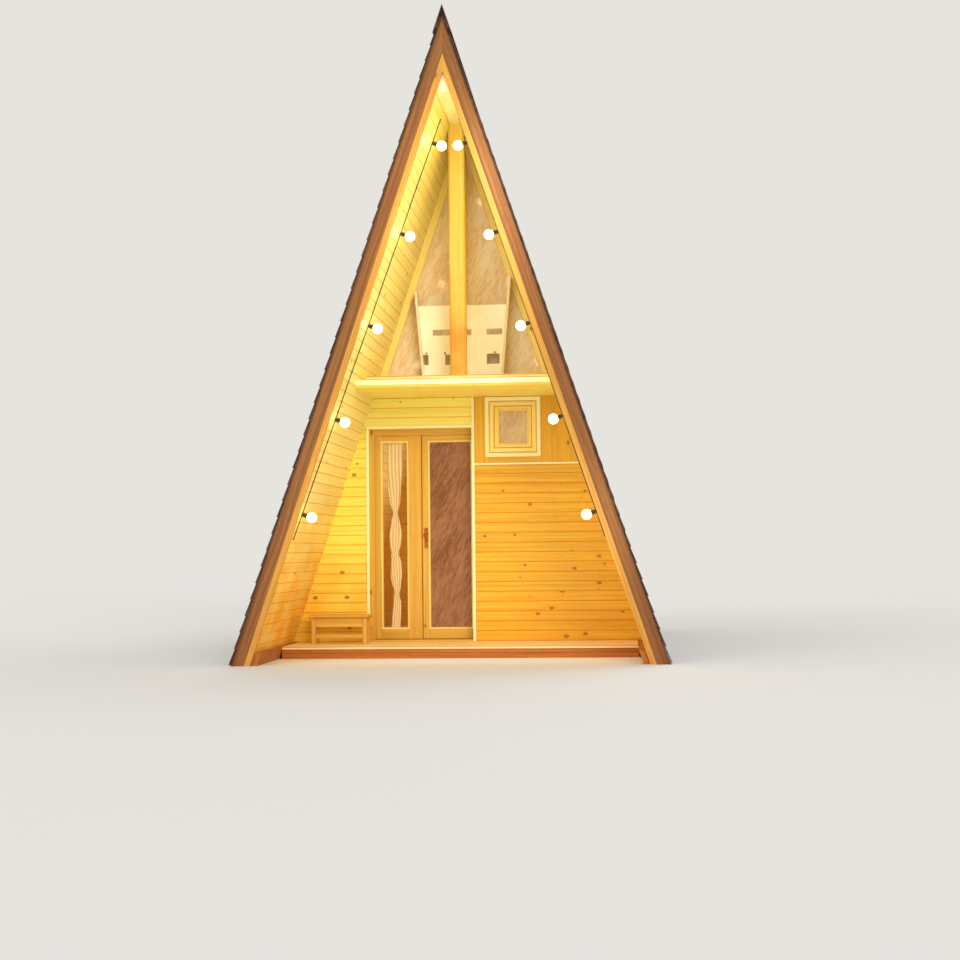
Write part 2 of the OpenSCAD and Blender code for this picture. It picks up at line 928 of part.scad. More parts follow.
roof_cover(-1);  // left_roof_cover
roof_cover(1);  // right_roof_cover
roof_panel(-1);  // left_roof_panel
roof_panel(1);  // right_roof_panel
roof_lining(-1);  // left_roof_lining
roof_lining(1);  // right_roof_lining
ridge_cap();
ridge_beam();
front_barge(-1);  // left_front_barge
front_barge(1);  // right_front_barge
front_trim(-1);  // left_front_trim
front_trim(1);  // right_front_trim
rear_barge();
base_sills();
ground_floor();
porch_frame();
porch_deck();
front_wall_left();
front_wall_over_door();
front_wall_right();
front_wall_window();
wall_trim();
door_frame();
left_door_leaf();
right_door_leaf();
left_door_glass();
right_door_glass();
door_hinges();
left_door_ironwork();
right_door_ironwork();
door_curtain();
window_frame();
window_glass();
loft_floor();
ledge();
ledge_fascia();
balcony_deck();
centre_post();
guard_panel();
guard_wings();
gable_frame();
gable_glass();
rear_wall();
rear_window_frame();
rear_window_glass();
light_string();
lamp_bulbs();
porch_bench();
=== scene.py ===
"""Looks of the a-frame cabin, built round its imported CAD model.

Metres, front towards -Y, ground at Z = 0. Every board, bar, shingle and turned part is a surface
worked out with numpy: a section of a few corners is carried along a path of stations.
"""

import math
from types import SimpleNamespace

import bpy
import numpy as np
from mathutils import Matrix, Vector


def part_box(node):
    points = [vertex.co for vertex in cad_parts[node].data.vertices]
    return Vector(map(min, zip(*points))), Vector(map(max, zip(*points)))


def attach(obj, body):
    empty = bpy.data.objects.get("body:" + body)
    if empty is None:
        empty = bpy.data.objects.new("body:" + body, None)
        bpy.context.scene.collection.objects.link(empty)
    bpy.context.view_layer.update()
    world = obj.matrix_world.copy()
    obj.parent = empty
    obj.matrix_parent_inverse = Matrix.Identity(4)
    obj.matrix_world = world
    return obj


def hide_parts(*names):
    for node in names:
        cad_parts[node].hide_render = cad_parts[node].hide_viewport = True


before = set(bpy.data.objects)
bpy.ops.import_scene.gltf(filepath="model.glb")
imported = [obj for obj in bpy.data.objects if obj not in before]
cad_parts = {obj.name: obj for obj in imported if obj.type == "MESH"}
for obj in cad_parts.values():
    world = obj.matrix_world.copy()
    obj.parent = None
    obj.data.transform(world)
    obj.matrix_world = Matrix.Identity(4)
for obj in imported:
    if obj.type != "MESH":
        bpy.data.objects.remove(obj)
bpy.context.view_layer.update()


# The building's lines, read from the frame

def box_of(node):
    """The places of the six faces of a CAD node's box."""
    (left, front, bottom), (right, back, top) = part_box(node)
    return SimpleNamespace(left=left, right=right, front=front, back=back, bottom=bottom, top=top)


# Gaps between the linings and the pieces scribed to them, and between timbers that lie face to face
FIT = 0.0003
HAIR = 0.0005

roof_cover = box_of("right_roof_cover")
wall_right, over_door = box_of("front_wall_right"), box_of("front_wall_over_door")
FOOT_HALF, BACK, APEX = roof_cover.right, roof_cover.back, roof_cover.top
FRONT = -BACK
RUN = FOOT_HALF / APEX
LEAN = math.atan(RUN)
# Rise and level run for each metre up a slope
SLOPE_RISE, SLOPE_RUN = math.cos(LEAN), math.sin(LEAN)

# Level depths below the outer roof line
ROOF_BAND = FOOT_HALF - box_of("base_sills").right - FIT
COVER, LINING, TRIM = (
    FOOT_HALF - box_of(node).right
    for node in ("right_roof_panel", "right_roof_lining", "right_front_trim")
)

FLOOR = box_of("ground_floor").top
SILL_IN = FOOT_HALF - ROOF_BAND - box_of("ground_floor").right
WALL_FRONT, WALL_BACK = wall_right.front, wall_right.back
WALL = WALL_BACK - WALL_FRONT
DOOR_LEFT, DOOR_RIGHT = box_of("front_wall_left").right, wall_right.left
DOOR_TOP, WALL_TOP = over_door.bottom, over_door.top
PANEL = box_of("front_wall_window").bottom
LEDGE_TOP = box_of("ledge").top
DECK_TOP = box_of("balcony_deck").top
BEAM = box_of("ridge_beam").bottom


def outer_x(z):
    """Half width of the cabin over the roof covering at a height."""
    return (APEX - z) * RUN


def inner_x(z):
    """Half width between the linings at a height, less the gap that scribed pieces keep."""
    return outer_x(z) - ROOF_BAND - FIT


def inner_z(x):
    """Height at which scribed pieces have a half width."""
    return APEX - (x + ROOF_BAND + FIT) / RUN


# Surfaces

BOARD = 0.1
EASE = 0.0035
TUBE_SIDES = 10
# Half the length and width of the timber pattern in which each board takes its own place
PATTERN = 40


def unit(vectors):
    """Vectors brought to length 1 along their last axis."""
    return vectors / np.maximum(np.linalg.norm(vectors, axis=-1, keepdims=True), 1e-12)


def at(x, y, z):
    """Points from X, Y and Z, each a number or an array."""
    return np.stack(np.broadcast_arrays(x, y, z), axis=-1).astype(float)


def surface(points, groups, grain, tone, smooth=False):
    """A part of a piece: points, groups of faces, and each point's place in the pattern and tone."""
    return {
        "points": points.reshape(-1, 3), "groups": groups, "grain": grain.reshape(-1, 3),
        "tone": tone.ravel(), "smooth": smooth,
    }


def solids(rings, grain=None, tone=0.5, smooth=False):
    """Closed solids from rings (solid, station, corner, xyz).

    A quad joins neighbouring corners of neighbouring stations and one face closes each end. A solid
    whose corners run the wrong way round has its faces reversed, so that they all point outwards.
    The tone is one number, or one for each solid, or one for each of its stations.
    """
    rings, tone = np.asarray(rings, float), np.asarray(tone, float)
    count, stations, corners, _ = rings.shape
    middle = rings.mean(axis=2, keepdims=True)
    along = middle[:, -1, 0] - middle[:, 0, 0]
    arms = rings - middle
    turn = np.cross(arms, np.roll(arms, -1, axis=2)).sum(axis=(1, 2))
    wrong = (turn * along).sum(axis=1) < 0
    station, corner = np.mgrid[0:stations - 1, 0:corners]
    here = station * corners + corner
    beside = station * corners + (corner + 1) % corners
    sides = np.stack([here, beside, beside + corners, here + corners], axis=-1).reshape(-1, 4)
    ends = np.stack([np.arange(corners)[::-1], (stations - 1) * corners + np.arange(corners)])
    first = (np.arange(count) * stations * corners)[:, None, None]
    groups = []
    for faces in (sides + first, ends + first):
        faces[wrong] = faces[wrong][:, :, ::-1]
        groups.append(faces.reshape(-1, faces.shape[-1]))
    tone = tone.reshape(tone.shape + (1,) * (3 - tone.ndim))
    grain = rings if grain is None else grain
    return surface(rings, groups, grain, np.broadcast_to(tone, rings.shape[:3]), smooth)


def own_grain(grain, seed):
    """Each board's grain moved to its own place in the pattern, and each board's tone."""
    draw = np.random.default_rng(seed)
    grain[..., :2] += draw.uniform(-PATTERN, PATTERN, (len(grain), 1, 1, 2))
    return grain, draw.random(len(grain))


def put(name, parts, paint, slot, body="root", replaces=None):
    """Joins parts into one piece that rides on a body and may stand for a CAD node."""
    faces, smooth, start = [], [], 0
    for part in parts:
        for group, soft in zip(part["groups"], (part["smooth"], False)):
            faces += (group + start).tolist()
            smooth += [soft] * len(group)
        start += len(part["points"])
    mesh = bpy.data.meshes.new(name)
    mesh.from_pydata(np.concatenate([part["points"] for part in parts]), [], faces)
    mesh.polygons.foreach_set("use_smooth", smooth)
    for label, kind, field in (("grain", "FLOAT_VECTOR", "vector"), ("tone", "FLOAT", "value")):
        values = np.concatenate([part[label] for part in parts]).astype(np.float32)
        mesh.attributes.new(label, kind, "POINT").data.foreach_set(field, values.ravel())
    mesh.materials.append(paint)
    piece = bpy.data.objects.new(name, mesh)
    bpy.context.scene.collection.objects.link(piece)
    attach(piece, body)
    if replaces:
        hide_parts(replaces)
    return piece


def boards(faces, inward, thick, ease=EASE, drop=0.75, back=0.0015, end_ease=0.0, lean=0.0, seed=0):
    """Timber boards with eased edges.

    Each row of faces has the four corners of a board's face: start-low, end-low, end-high and
    start-high. A corner of the section lies between the low and the high edge, some way under the
    face along inward. An eased edge is ease wide and drop times as deep. The ends close in by lean
    for each metre of depth. With end_ease the first and last ring are drawn in, which eases the
    ends. The grain runs from start to end.
    """
    faces = np.asarray(faces, float).reshape(-1, 4, 3)
    count = len(faces)
    inward = unit(np.broadcast_to(np.asarray(inward, float), (count, 3)))
    thick = np.broadcast_to(thick, count).astype(float)[:, None, None]
    low_way, high_way = unit(faces[:, 1] - faces[:, 0]), unit(faces[:, 2] - faces[:, 3])
    way = unit(faces[:, 1] - faces[:, 0] + faces[:, 2] - faces[:, 3])
    # A station at each end of the board, and a second one inside an eased end
    steps = np.array([0.0, end_ease, -end_ease, 0.0] if end_ease else [0.0, 0.0])[:, None]
    end = np.repeat([0, 1], len(steps) // 2)
    low = faces[:, end] + steps * low_way[:, None]
    high = faces[:, 3 - end] + steps * high_way[:, None]
    drawn_in = end_ease - np.abs(steps)
    slip = (lean * (1 - 2 * end))[:, None, None]
    # The section, clockwise from the low edge of the face: quarter rounds in front, chamfers behind
    bend = np.linspace(0, math.pi / 2, 4)
    in_by, down_by = ease * (1 - np.sin(bend)), drop * ease * (1 - np.cos(bend))
    on_high = np.array([False] + [True] * 6 + [False] * 5)
    inset = np.concatenate([in_by[:1], in_by, [0, back, back, 0], in_by[:0:-1]])
    through = np.array([0] * 5 + [1] * 4 + [0] * 3)
    under = np.concatenate([down_by[:1], down_by, [-back, 0, 0, -back], down_by[:0:-1]])
    across = high - low
    width = np.linalg.norm(across, axis=-1)[:, :, None]
    inset = np.minimum(inset + drawn_in, 0.45 * width)[..., None]
    depth = np.clip(through * thick + under, drawn_in, thick - drawn_in)[..., None]
    across = unit(across)[:, :, None]
    low, high = low[:, :, None] + across * inset, high[:, :, None] - across * inset
    edge = np.where(on_high[:, None], high, low)
    rings = edge + depth * (inward[:, None, None] + slip * way[:, None, None])
    place = rings - faces[:, 0][:, None, None]
    axes = np.stack([way, unit(np.cross(inward, way)), inward], axis=1)
    return solids(rings, *own_grain(np.einsum("nscj,nkj->nsck", place, axes), seed))


def beams(lows, highs, along, across, ease=EASE, end_ease=0.0, seed=0):
    """Level or upright timbers that fill boxes, eased on all their long edges."""
    lows, highs = np.atleast_2d(lows).astype(float), np.atleast_2d(highs).astype(float)
    deep = 3 - along - across
    faces = np.repeat(lows[:, None], 4, axis=1)
    faces[:, 1:3, along] = highs[:, None, along]
    faces[:, 2:4, across] = highs[:, None, across]
    thick = (highs - lows)[:, deep]
    return boards(faces, np.eye(3)[deep], thick, ease=ease, back=ease, end_ease=end_ease, seed=seed)


def carried(outline, starts, ends, seed):
    """An X-Z outline carried along Y from each start to each end, with the grain along Y."""
    outline = np.asarray(outline, float)
    ys = np.stack([np.atleast_1d(starts), np.atleast_1d(ends)], axis=1)[:, :, None]
    rings = at(outline[:, 0], ys, outline[:, 1])
    return solids(rings, *own_grain(at(rings[..., 1], rings[..., 0] + rings[..., 2], 0), seed))


def moulding(outline, out, section, seed):
    """A section carried along each side of a closed outline and mitred at its corners.

    The outline runs counter-clockwise as seen from out's side. Each row of the section is a distance
    inside the outline and a height along out.
    """
    outline, out = np.asarray(outline, float), np.asarray(out, float)
    inside, height = np.asarray(section, float).T
    way = unit(np.roll(outline, -1, axis=0) - outline)
    inner = np.cross(out, way)
    before = np.roll(inner, 1, axis=0)
    mitre = (inner + before) / (1 + (inner * before).sum(axis=-1, keepdims=True))
    ring = outline[:, None] + mitre[:, None] * inside[:, None] + out * height[:, None]
    rings = np.stack([ring, np.roll(ring, -1, axis=0)], axis=1)
    place = rings - outline[:, None, None]
    along, across = ((place * axis[:, None, None]).sum(axis=-1) for axis in (way, inner))
    return solids(rings, *own_grain(at(along, across, 0), seed))


def rim(hole, y, section, grow=0.0, facing=-1, seed=0):
    """A moulding round an upright rectangle (left, right, bottom, top), grown on all its sides."""
    left, right, bottom, top = hole[0] - grow, hole[1] + grow, hole[2] - grow, hole[3] + grow
    xs = [left, right, right, left] if facing < 0 else [right, left, left, right]
    return moulding(at(xs, y, [bottom, bottom, top, top]), (0, facing, 0), section, seed)


def circle(radius, sides, side, other):
    """Corners of a circle that turns from one direction to another; the radius may be an array."""
    angle = np.linspace(0, 2 * math.pi, sides, endpoint=False)[:, None]
    return radius * (np.cos(angle) * side[..., None, :] + np.sin(angle) * other[..., None, :])


def turned(profile, feet, axis, sides):
    """Turned pieces: rows of (height, radius) spun round the axis that rises from each foot."""
    feet = np.atleast_2d(feet).astype(float)
    axis = unit(np.broadcast_to(np.asarray(axis, float), feet.shape))
    helper = np.where(np.abs(axis[:, 2:]) < 0.9, [[0, 0, 1]], [[1, 0, 0]])
    side = unit(np.cross(helper, axis))
    height, radius = np.asarray(profile, float).T[..., None, None]
    ring = circle(radius, sides, side[:, None], np.cross(axis, side)[:, None])
    return solids(feet[:, None, None] + height * axis[:, None, None] + ring, smooth=True)


def tube(path, radius):
    """A round section carried along a path of points."""
    way = unit(np.gradient(path, axis=0))
    side = unit(np.cross(way, (0, 1, 0)))
    ring = circle(radius, TUBE_SIDES, side, np.cross(way, side))
    return solids((path[:, None] + ring)[None], smooth=True)


def dome(spots, out, radius=0.0045):
    """Low domes on a face, such as nail and screw heads."""
    shape = np.array([(0.0, 1.0), (0.35, 0.9), (0.6, 0.5), (0.68, 0.05)])
    return turned(shape * radius, spots, out, sides=8)


# Rows of boards

def courses(low, high, pitch=BOARD):
    """Edges of equal rows between two lines, each about one pitch wide."""
    return np.linspace(low, high, max(1, round((high - low) / pitch)) + 1)


def slope(side, inset=0.0):
    """The line to which pieces are scribed on the left (-1) or the right (1), or one inside it."""
    return lambda z: side * (inner_x(z) - inset)


def as_line(end):
    """The end of a row as a function of the place across its boards; a number is the same all along."""
    return end if callable(end) else lambda place: np.full_like(place, end)


def laid(low, high, start, end, inward, thick, **finish):
    """Boards between their low and high edges; start and end give the two ends of an edge."""
    faces = np.stack([start(low), end(low), end(high), start(high)], axis=-2)
    return boards(faces, inward, thick, **finish)


def level_boards(levels, left, right, y, thick, facing=-1, **finish):
    """Boards of a wall, one between each pair of levels; left and right give the X of their ends."""
    levels, left, right = np.array(levels, float), as_line(left), as_line(right)
    return laid(
        levels[:-1], levels[1:], lambda z: at(left(z), y, z), lambda z: at(right(z), y, z),
        (0, -facing, 0), thick, **finish,
    )


def upright_boards(xs, bottom, tops, y, thick, **finish):
    """Boards set upright side by side; tops gives the height of their ends at an X."""
    xs, tops = np.array(xs, float), as_line(tops)
    return laid(
        xs[:-1], xs[1:], lambda x: at(x, y, bottom), lambda x: at(x, y, tops(x)),
        (0, 1, 0), thick, **finish,
    )


def deep_boards(xs, z, node, thick, **finish):
    """Boards laid in depth over a node's length, one between each pair of X values."""
    return laid(
        xs[:-1], xs[1:], lambda x: at(x, node.front, z), lambda x: at(x, node.back, z),
        (0, 0, -1), thick, **finish,
    )


def wide_boards(node, z, half, thick, pitch=BOARD, up=1, gap=0.0, **finish):
    """Boards laid across the cabin over a node's length, with ends cut to the slopes."""
    ys = courses(node.front, node.back, pitch)
    return laid(
        ys[:-1] + gap / 2, ys[1:] - gap / 2, lambda y: at(-half, y, z), lambda y: at(half, y, z),
        (0, 0, -up), thick, lean=-up * RUN, **finish,
    )


def verge_board(side, from_depth, to_depth, y, thick, facing, seed):
    """A board up a slope's edge, between two level depths, level at the foot and plumb at the top."""
    return laid(
        from_depth, to_depth,
        lambda depth: at(side * (FOOT_HALF - depth), y, 0.0),
        lambda depth: at(0.0, y, APEX - depth / RUN),
        (0, -facing, 0), thick, ease=0.004, back=0.002, seed=seed,
    )


# Finishes

def rgb(red, green, blue):
    """A colour as the shaders want it, from its values between 0 and 255."""
    share = np.array([red, green, blue]) / 255
    linear = np.where(share <= 0.04045, share / 12.92, ((share + 0.055) / 1.055) ** 2.4)
    return (*linear, 1.0)


class Shading:
    """A node tree, with short ways to add a node to it."""

    def __init__(self, tree):
        self.nodes, self.links = tree.nodes, tree.links

    def give(self, socket, value):
        """Gives a socket a number or colour, or a link from another node's socket."""
        if isinstance(value, bpy.types.NodeSocket):
            self.links.new(value, socket)
        else:
            socket.default_value = value

    def set(self, node, **sockets):
        """Gives a node's inputs by their labels, with underscores for spaces."""
        for label, value in sockets.items():
            self.give(node.inputs[label.replace("_", " ")], value)

    def add(self, kind, settings=None, **sockets):
        """Adds a node with its settings and inputs."""
        node = self.nodes.new(kind)
        for label, value in (settings or {}).items():
            setattr(node, label, value)
        self.set(node, **sockets)
        return node

    def fill(self, kind, settings, inputs, values):
        """Adds a node whose inputs are given by their place."""
        node = self.add(kind, settings)
        for index, value in zip(inputs, values):
            self.give(node.inputs[index], value)
        return node

    def math(self, operation, *values):
        return self.fill("ShaderNodeMath", {"operation": operation}, range(3), values).outputs[0]

    def times(self, one, other):
        return self.math("MULTIPLY", one, other)

    def plus(self, one, other):
        return self.math("ADD", one, other)

    def place(self):
        """Where a point lies, in the object's own coordinates."""
        return self.add("ShaderNodeTexCoord").outputs["Object"]

    def read(self, label, output="Vector"):
        """A value that each point of the mesh carries."""
        return self.add("ShaderNodeAttribute", {"attribute_name": label}).outputs[output]

    def axes(self, vector):
        """The X, Y and Z of a vector."""
        return tuple(self.add("ShaderNodeSeparateXYZ", Vector=vector).outputs)

    def rotated(self, vector, angles):
        """A vector turned about X, Y and Z."""
        node = self.add("ShaderNodeMapping", {"vector_type": "POINT"}, Vector=vector, Rotation=angles)
        return node.outputs["Vector"]

    def scaled(self, vector, factors):
        """A vector with each axis multiplied by its own factor."""
        kind = {"operation": "MULTIPLY"}
        return self.fill("ShaderNodeVectorMath", kind, range(2), (vector, factors)).outputs[0]

    def noise(self, vector, scale=1.0, detail=3.0, roughness=0.5, distortion=0.0):
        """Noise with scale waves to a metre: one number, or one for each axis."""
        if np.ndim(scale):
            vector, scale = self.scaled(vector, scale), 1.0
        node = self.add(
            "ShaderNodeTexNoise", Vector=vector, Scale=scale, Detail=detail,
            Roughness=roughness, Distortion=distortion,
        )
        return node.outputs["Fac"]

    def spread(self, value, low, high, to_low=0.0, to_high=1.0):
        """A smooth step of a value, from to_low at low to to_high at high."""
        node = self.add(
            "ShaderNodeMapRange", {"interpolation_type": "SMOOTHSTEP"}, Value=value,
            From_Min=low, From_Max=high, To_Min=to_low, To_Max=to_high,
        )
        return node.outputs["Result"]

    def blend(self, share, one, other, how="MIX"):
        """One colour with a share of another laid over it."""
        kind = {"data_type": "RGBA", "blend_type": how}
        return self.fill("ShaderNodeMix", kind, (0, 6, 7), (share, one, other)).outputs[2]


class Finish(Shading):
    """A material, with its shader's sockets."""

    def __init__(self, name, **sockets):
        self.material = bpy.data.materials.new(name)
        self.material.use_nodes = True
        super().__init__(self.material.node_tree)
        self.shader = self.nodes["Principled BSDF"]
        self.set(self.shader, **sockets)

    def done(self, colour=None, relief=None, **sockets):
        """Sets the last sockets; relief is a height field with its depth in metres."""
        if colour is not None:
            self.set(self.shader, Base_Color=colour)
        self.set(self.shader, **sockets)
        if relief is not None:
            height, distance = relief
            bump = self.add("ShaderNodeBump", Height=height, Distance=distance, Strength=1.0)
            self.set(self.shader, Normal=bump.outputs["Normal"])
        return self.material


PINE_KNOT = (164, 72, 10)
KNOT_RIM = rgb(120, 54, 14)
# Cells that may hold a knot, to a metre along and across the grain, and a knot's size in its cell
KNOT_CELLS, KNOT_SIZE = (3.6, 5.2, 1.0), (0.026, 0.072)
# Waves to a metre: growth rings along and across the grain, and the fibres along and across it
RINGS_ALONG, RINGS_ACROSS = 0.55, 34.0
FIBRES = (6.0, 420.0, 420.0)
# Painted shade darkens a groove between the first two depths under a board's face, and clears between
# the others
GROOVE_DEPTHS = (0.0, 0.0035), (0.007, 0.011)


def timber(name, pale, deep, knot=PINE_KNOT, knots=0.05, gloss=0.45, varnish=0.15, contrast=1.0,
           tones=0.14, foot=(0.95, 0.88, 0.86), foot_range=(0.05, 0.9), on_boards=True,
           relief=0.0006, groove=None):
    """Planed timber: rings drawn out along the grain, fine fibres, and knots the rings flow round.

    Timber of boards reads its place in each board. Without on_boards it reads the object's own
    coordinates, with the grain along Y. Between two heights the colour darkens towards the foot: a
    little near the ground as weathering; strongly and higher up on the lining and the post as painted
    shade; on the left wall darker and more orange towards the bottom. The grooves between boards get
    painted shade.
    """
    pale, deep, knot, groove = rgb(*pale), rgb(*deep), rgb(*knot), rgb(*(groove or knot))
    paint = Finish(name, Metallic=0.0, Coat_Weight=varnish, Coat_Roughness=0.35)
    spot = paint.place()
    if on_boards:
        grain, tone = paint.read("grain"), paint.read("tone", "Fac")
    else:
        grain, tone = paint.rotated(spot, (0, 0, math.pi / 2)), paint.noise(spot, 1.5)
    along, across, under = paint.axes(grain)
    # Knots: one to a cell at most, a little longer than wide, with a dark rim
    cells = paint.add(
        "ShaderNodeTexVoronoi", {"voronoi_dimensions": "2D"},
        Vector=paint.scaled(grain, KNOT_CELLS), Scale=1.0, Randomness=0.9,
    ).outputs
    luck = paint.add("ShaderNodeSeparateColor", Color=cells["Color"]).outputs
    has_knot = paint.math("LESS_THAN", luck["Red"], knots)
    size = paint.spread(luck["Green"], 0.2, 1.0, *KNOT_SIZE)
    wobble = paint.times(paint.noise(grain, (70.0, 70.0, 1.0)), 0.03)
    distance = paint.math("DIVIDE", paint.plus(cells["Distance"], wobble), size)
    from_rim = paint.math("ABSOLUTE", paint.math("SUBTRACT", distance, 1.35))
    core = paint.times(paint.spread(distance, 1.9, 0.9), has_knot)
    rim_share = paint.times(paint.spread(from_rim, 0.3, 0.0), has_knot)
    swirl = paint.times(paint.spread(distance, 5.0, 0.6), has_knot)
    # Growth rings, wandering and pushed aside by the knots
    wander = paint.noise(grain, (1.1, 5.0, 5.0), detail=2.0)
    flow = paint.plus(paint.times(wander, 0.05), paint.times(swirl, 0.03))
    bent = paint.add(
        "ShaderNodeCombineXYZ", X=paint.times(along, RINGS_ALONG),
        Y=paint.times(paint.plus(across, flow), RINGS_ACROSS), Z=paint.times(under, RINGS_ACROSS),
    ).outputs[0]
    rings = paint.noise(bent, detail=4.0, roughness=0.6, distortion=0.4)
    fibre = paint.noise(grain, FIBRES, detail=2.0)
    streak = paint.spread(rings, 0.5 - 0.22 / contrast, 0.5 + 0.24 / contrast)
    colour = paint.blend(paint.spread(fibre, 0.35, 0.7, 0.0, 0.2), paint.blend(streak, deep, pale), deep)
    light = paint.plus(paint.times(tone, tones), 1.0 - tones / 2)
    shade = paint.add("ShaderNodeCombineXYZ", X=light, Y=light, Z=light).outputs[0]
    colour = paint.blend(1.0, colour, shade, "MULTIPLY")
    blush = paint.times(paint.noise(grain, (0.8, 1.3, 1.0), detail=2.0), 0.5)
    figure = paint.noise(grain, (9.0, 24.0, 1.0), detail=4.0, roughness=0.65, distortion=0.6)
    # Painted shade in the grooves, though not on a board's sides and back
    darkens, clears = GROOVE_DEPTHS
    dirt_and_groove_shade = paint.times(paint.spread(under, *darkens, 0.0, 0.8), paint.spread(under, *clears, 1.0, 0.0))
    coats = (
        (paint.times(blush, tone), deep), (paint.spread(figure, 0.48, 0.7, 0.0, 0.45), deep),
        (paint.times(swirl, 0.35), deep), (paint.times(core, 0.8), knot),
        (paint.times(rim_share, 0.35), KNOT_RIM), (dirt_and_groove_shade, groove),
    )
    for share, coat in coats:
        colour = paint.blend(share, colour, coat)
    # Darker towards the foot in patches: weathering near the ground, painted shade on the lining and the
    # post
    patchy = paint.spread(paint.noise(spot, 3.0), 0.3, 0.7, 0.5, 1.0)
    darkened = paint.times(paint.spread(paint.axes(spot)[2], *reversed(foot_range)), patchy)
    colour = paint.blend(darkened, colour, paint.blend(1.0, colour, (*foot, 1.0), "MULTIPLY"))
    rise = paint.plus(paint.times(rings, 0.7), paint.times(fibre, 0.3))
    rise = paint.math("SUBTRACT", rise, paint.times(core, 0.4))
    rough = paint.plus(paint.times(fibre, 0.18), gloss - 0.09)
    return paint.done(colour, (rise, relief), Roughness=rough)


def painted_timber(name, coat, shade, darkened):
    """Brushed opaque paint on boards: brush marks along the grain, grime at the joints, thin spots."""
    coat, shade, darkened = rgb(*coat), rgb(*shade), rgb(*darkened)
    paint = Finish(name, Metallic=0.0, Coat_Weight=0.08, Coat_Roughness=0.4)
    grain, spot = paint.read("grain"), paint.place()
    brush = paint.noise(grain, (4.0, 190.0, 190.0))
    dirt_and_groove_shade = paint.noise(spot, 17.0, detail=5.0, roughness=0.65)
    colour = paint.blend(paint.spread(paint.noise(spot, 4.0, detail=4.0), 0.35, 0.75), coat, shade)
    colour = paint.blend(paint.spread(brush, 0.62, 0.8, 0.0, 0.25), colour, shade)
    colour = paint.blend(paint.spread(dirt_and_groove_shade, 0.62, 0.74, 0.0, 0.35), colour, darkened)
    colour = paint.blend(paint.spread(paint.axes(grain)[2], 0.0004, 0.003, 0.0, 0.4), colour, darkened)
    return paint.done(colour, (brush, 0.0004), Roughness=paint.plus(paint.times(brush, 0.2), 0.42))


def dim_glass(name, tint, streak, cover):
    """Tinted window glass: each face of a pane covers a share of what lies behind it.

    Slanting streaks of painted reflection mottle the tint, broad ones with finer ones over them.
    """
    paint = Finish(name, Metallic=0.0, Roughness=0.06, IOR=1.5, Alpha=cover)
    # Painted reflection: streaks slanting across the pane
    slant = paint.rotated(paint.place(), (0, math.radians(-24), 0))
    broad = paint.noise(slant, (5.0, 5.0, 1.6), detail=2.0)
    fine = paint.noise(slant, (46.0, 46.0, 11.0), roughness=0.6)
    share = paint.plus(paint.times(broad, 0.45), paint.times(fine, 0.55))
    return paint.done(paint.blend(paint.spread(share, 0.33, 0.67), rgb(*tint), rgb(*streak)))


def metal(name, colour, rubbed, rough, metallic=0.8):
    """Dark finished metal, rubbed brighter in patches."""
    paint = Finish(name, Metallic=metallic)
    spot = paint.place()
    patches = paint.noise(spot, 60.0, detail=4.0)
    return paint.done(
        paint.blend(paint.spread(patches, 0.45, 0.7), rgb(*colour), rgb(*rubbed)),
        (paint.noise(spot, 300.0), 0.0002), Roughness=paint.plus(paint.times(patches, 0.25), rough),
    )


def moulded(name, colour, bloom, rough):
    """Moulded plastic with a faint grain and a dusty bloom."""
    paint = Finish(name, Metallic=0.0)
    spot = paint.place()
    speckle = paint.noise(spot, 500.0, detail=2.0)
    return paint.done(
        paint.blend(paint.noise(spot, 9.0), rgb(*colour), rgb(*bloom)),
        (speckle, 0.0002), Roughness=paint.plus(paint.times(speckle, 0.2), rough),
    )


def lit_glass(name, body, middle, edge, strength):
    """The frosted glass of a lit globe: brightest where it is seen square on."""
    paint = Finish(name, Metallic=0.0, Roughness=0.3, Base_Color=rgb(*body), Emission_Strength=strength)
    slant = paint.add("ShaderNodeLayerWeight", Blend=0.35).outputs["Facing"]
    return paint.done(Emission_Color=paint.blend(slant, rgb(*middle), rgb(*edge)))


# Waves of the weave, in radians to a metre: one thread to every 1.3 mm
THREADS = 2400.0


def cloth(name, pale, shade, painted_glow):
    """Plain woven cotton: threads across and along its own map, softly shaded in its folds. It glows
    faintly in its own colour, which is painted light.
    """
    pale, shade = rgb(*pale), rgb(*shade)
    paint = Finish(name, Metallic=0.0, Roughness=0.85, Sheen_Weight=0.35, Sheen_Roughness=0.5)
    across, down, _ = paint.axes(paint.read("grain"))
    weave = paint.times(*(paint.math("SINE", paint.times(way, THREADS)) for way in (across, down)))
    colour = paint.blend(paint.spread(paint.read("tone", "Fac"), 0.35, 1.0, 0.0, 0.85), pale, shade)
    colour = paint.blend(paint.spread(weave, -1.0, 1.0, 0.0, 0.15), colour, shade)
    # A faint glow in the cloth's own colour: painted light, though the cloth is no lamp
    return paint.done(colour, (weave, 0.0003), Emission_Color=colour, Emission_Strength=painted_glow)


def stained(name, pale, deep, knot, **finish):
    """Dull stained timber, with no varnish."""
    return timber(name, pale, deep, knot, varnish=0.0, **finish)


# Each groove colour below is the painted shade in the joints between boards
pine = timber("Varnished_pine_boards", (234, 194, 48), (220, 156, 18), knots=0.42, groove=(222, 144, 18))
# The soffit and the boards over the door: pine painted lighter, as light on boards that stand in shade
lit_soffit_pine = timber("Soffit_pine_painted_lighter", (255, 249, 140), (253, 232, 98), knots=0.34, groove=(244, 190, 62))
# The left wall: pine painted lighter as light, its foot tinted darker and more orange towards the bottom
lit_left_wall_pine = timber(
    "Left_wall_pine_painted_lighter", (252, 243, 112), (246, 218, 66), knots=0.38, groove=(238, 176, 40),
    foot=(0.96, 0.6, 0.22), foot_range=(0.2, 1.3),
)
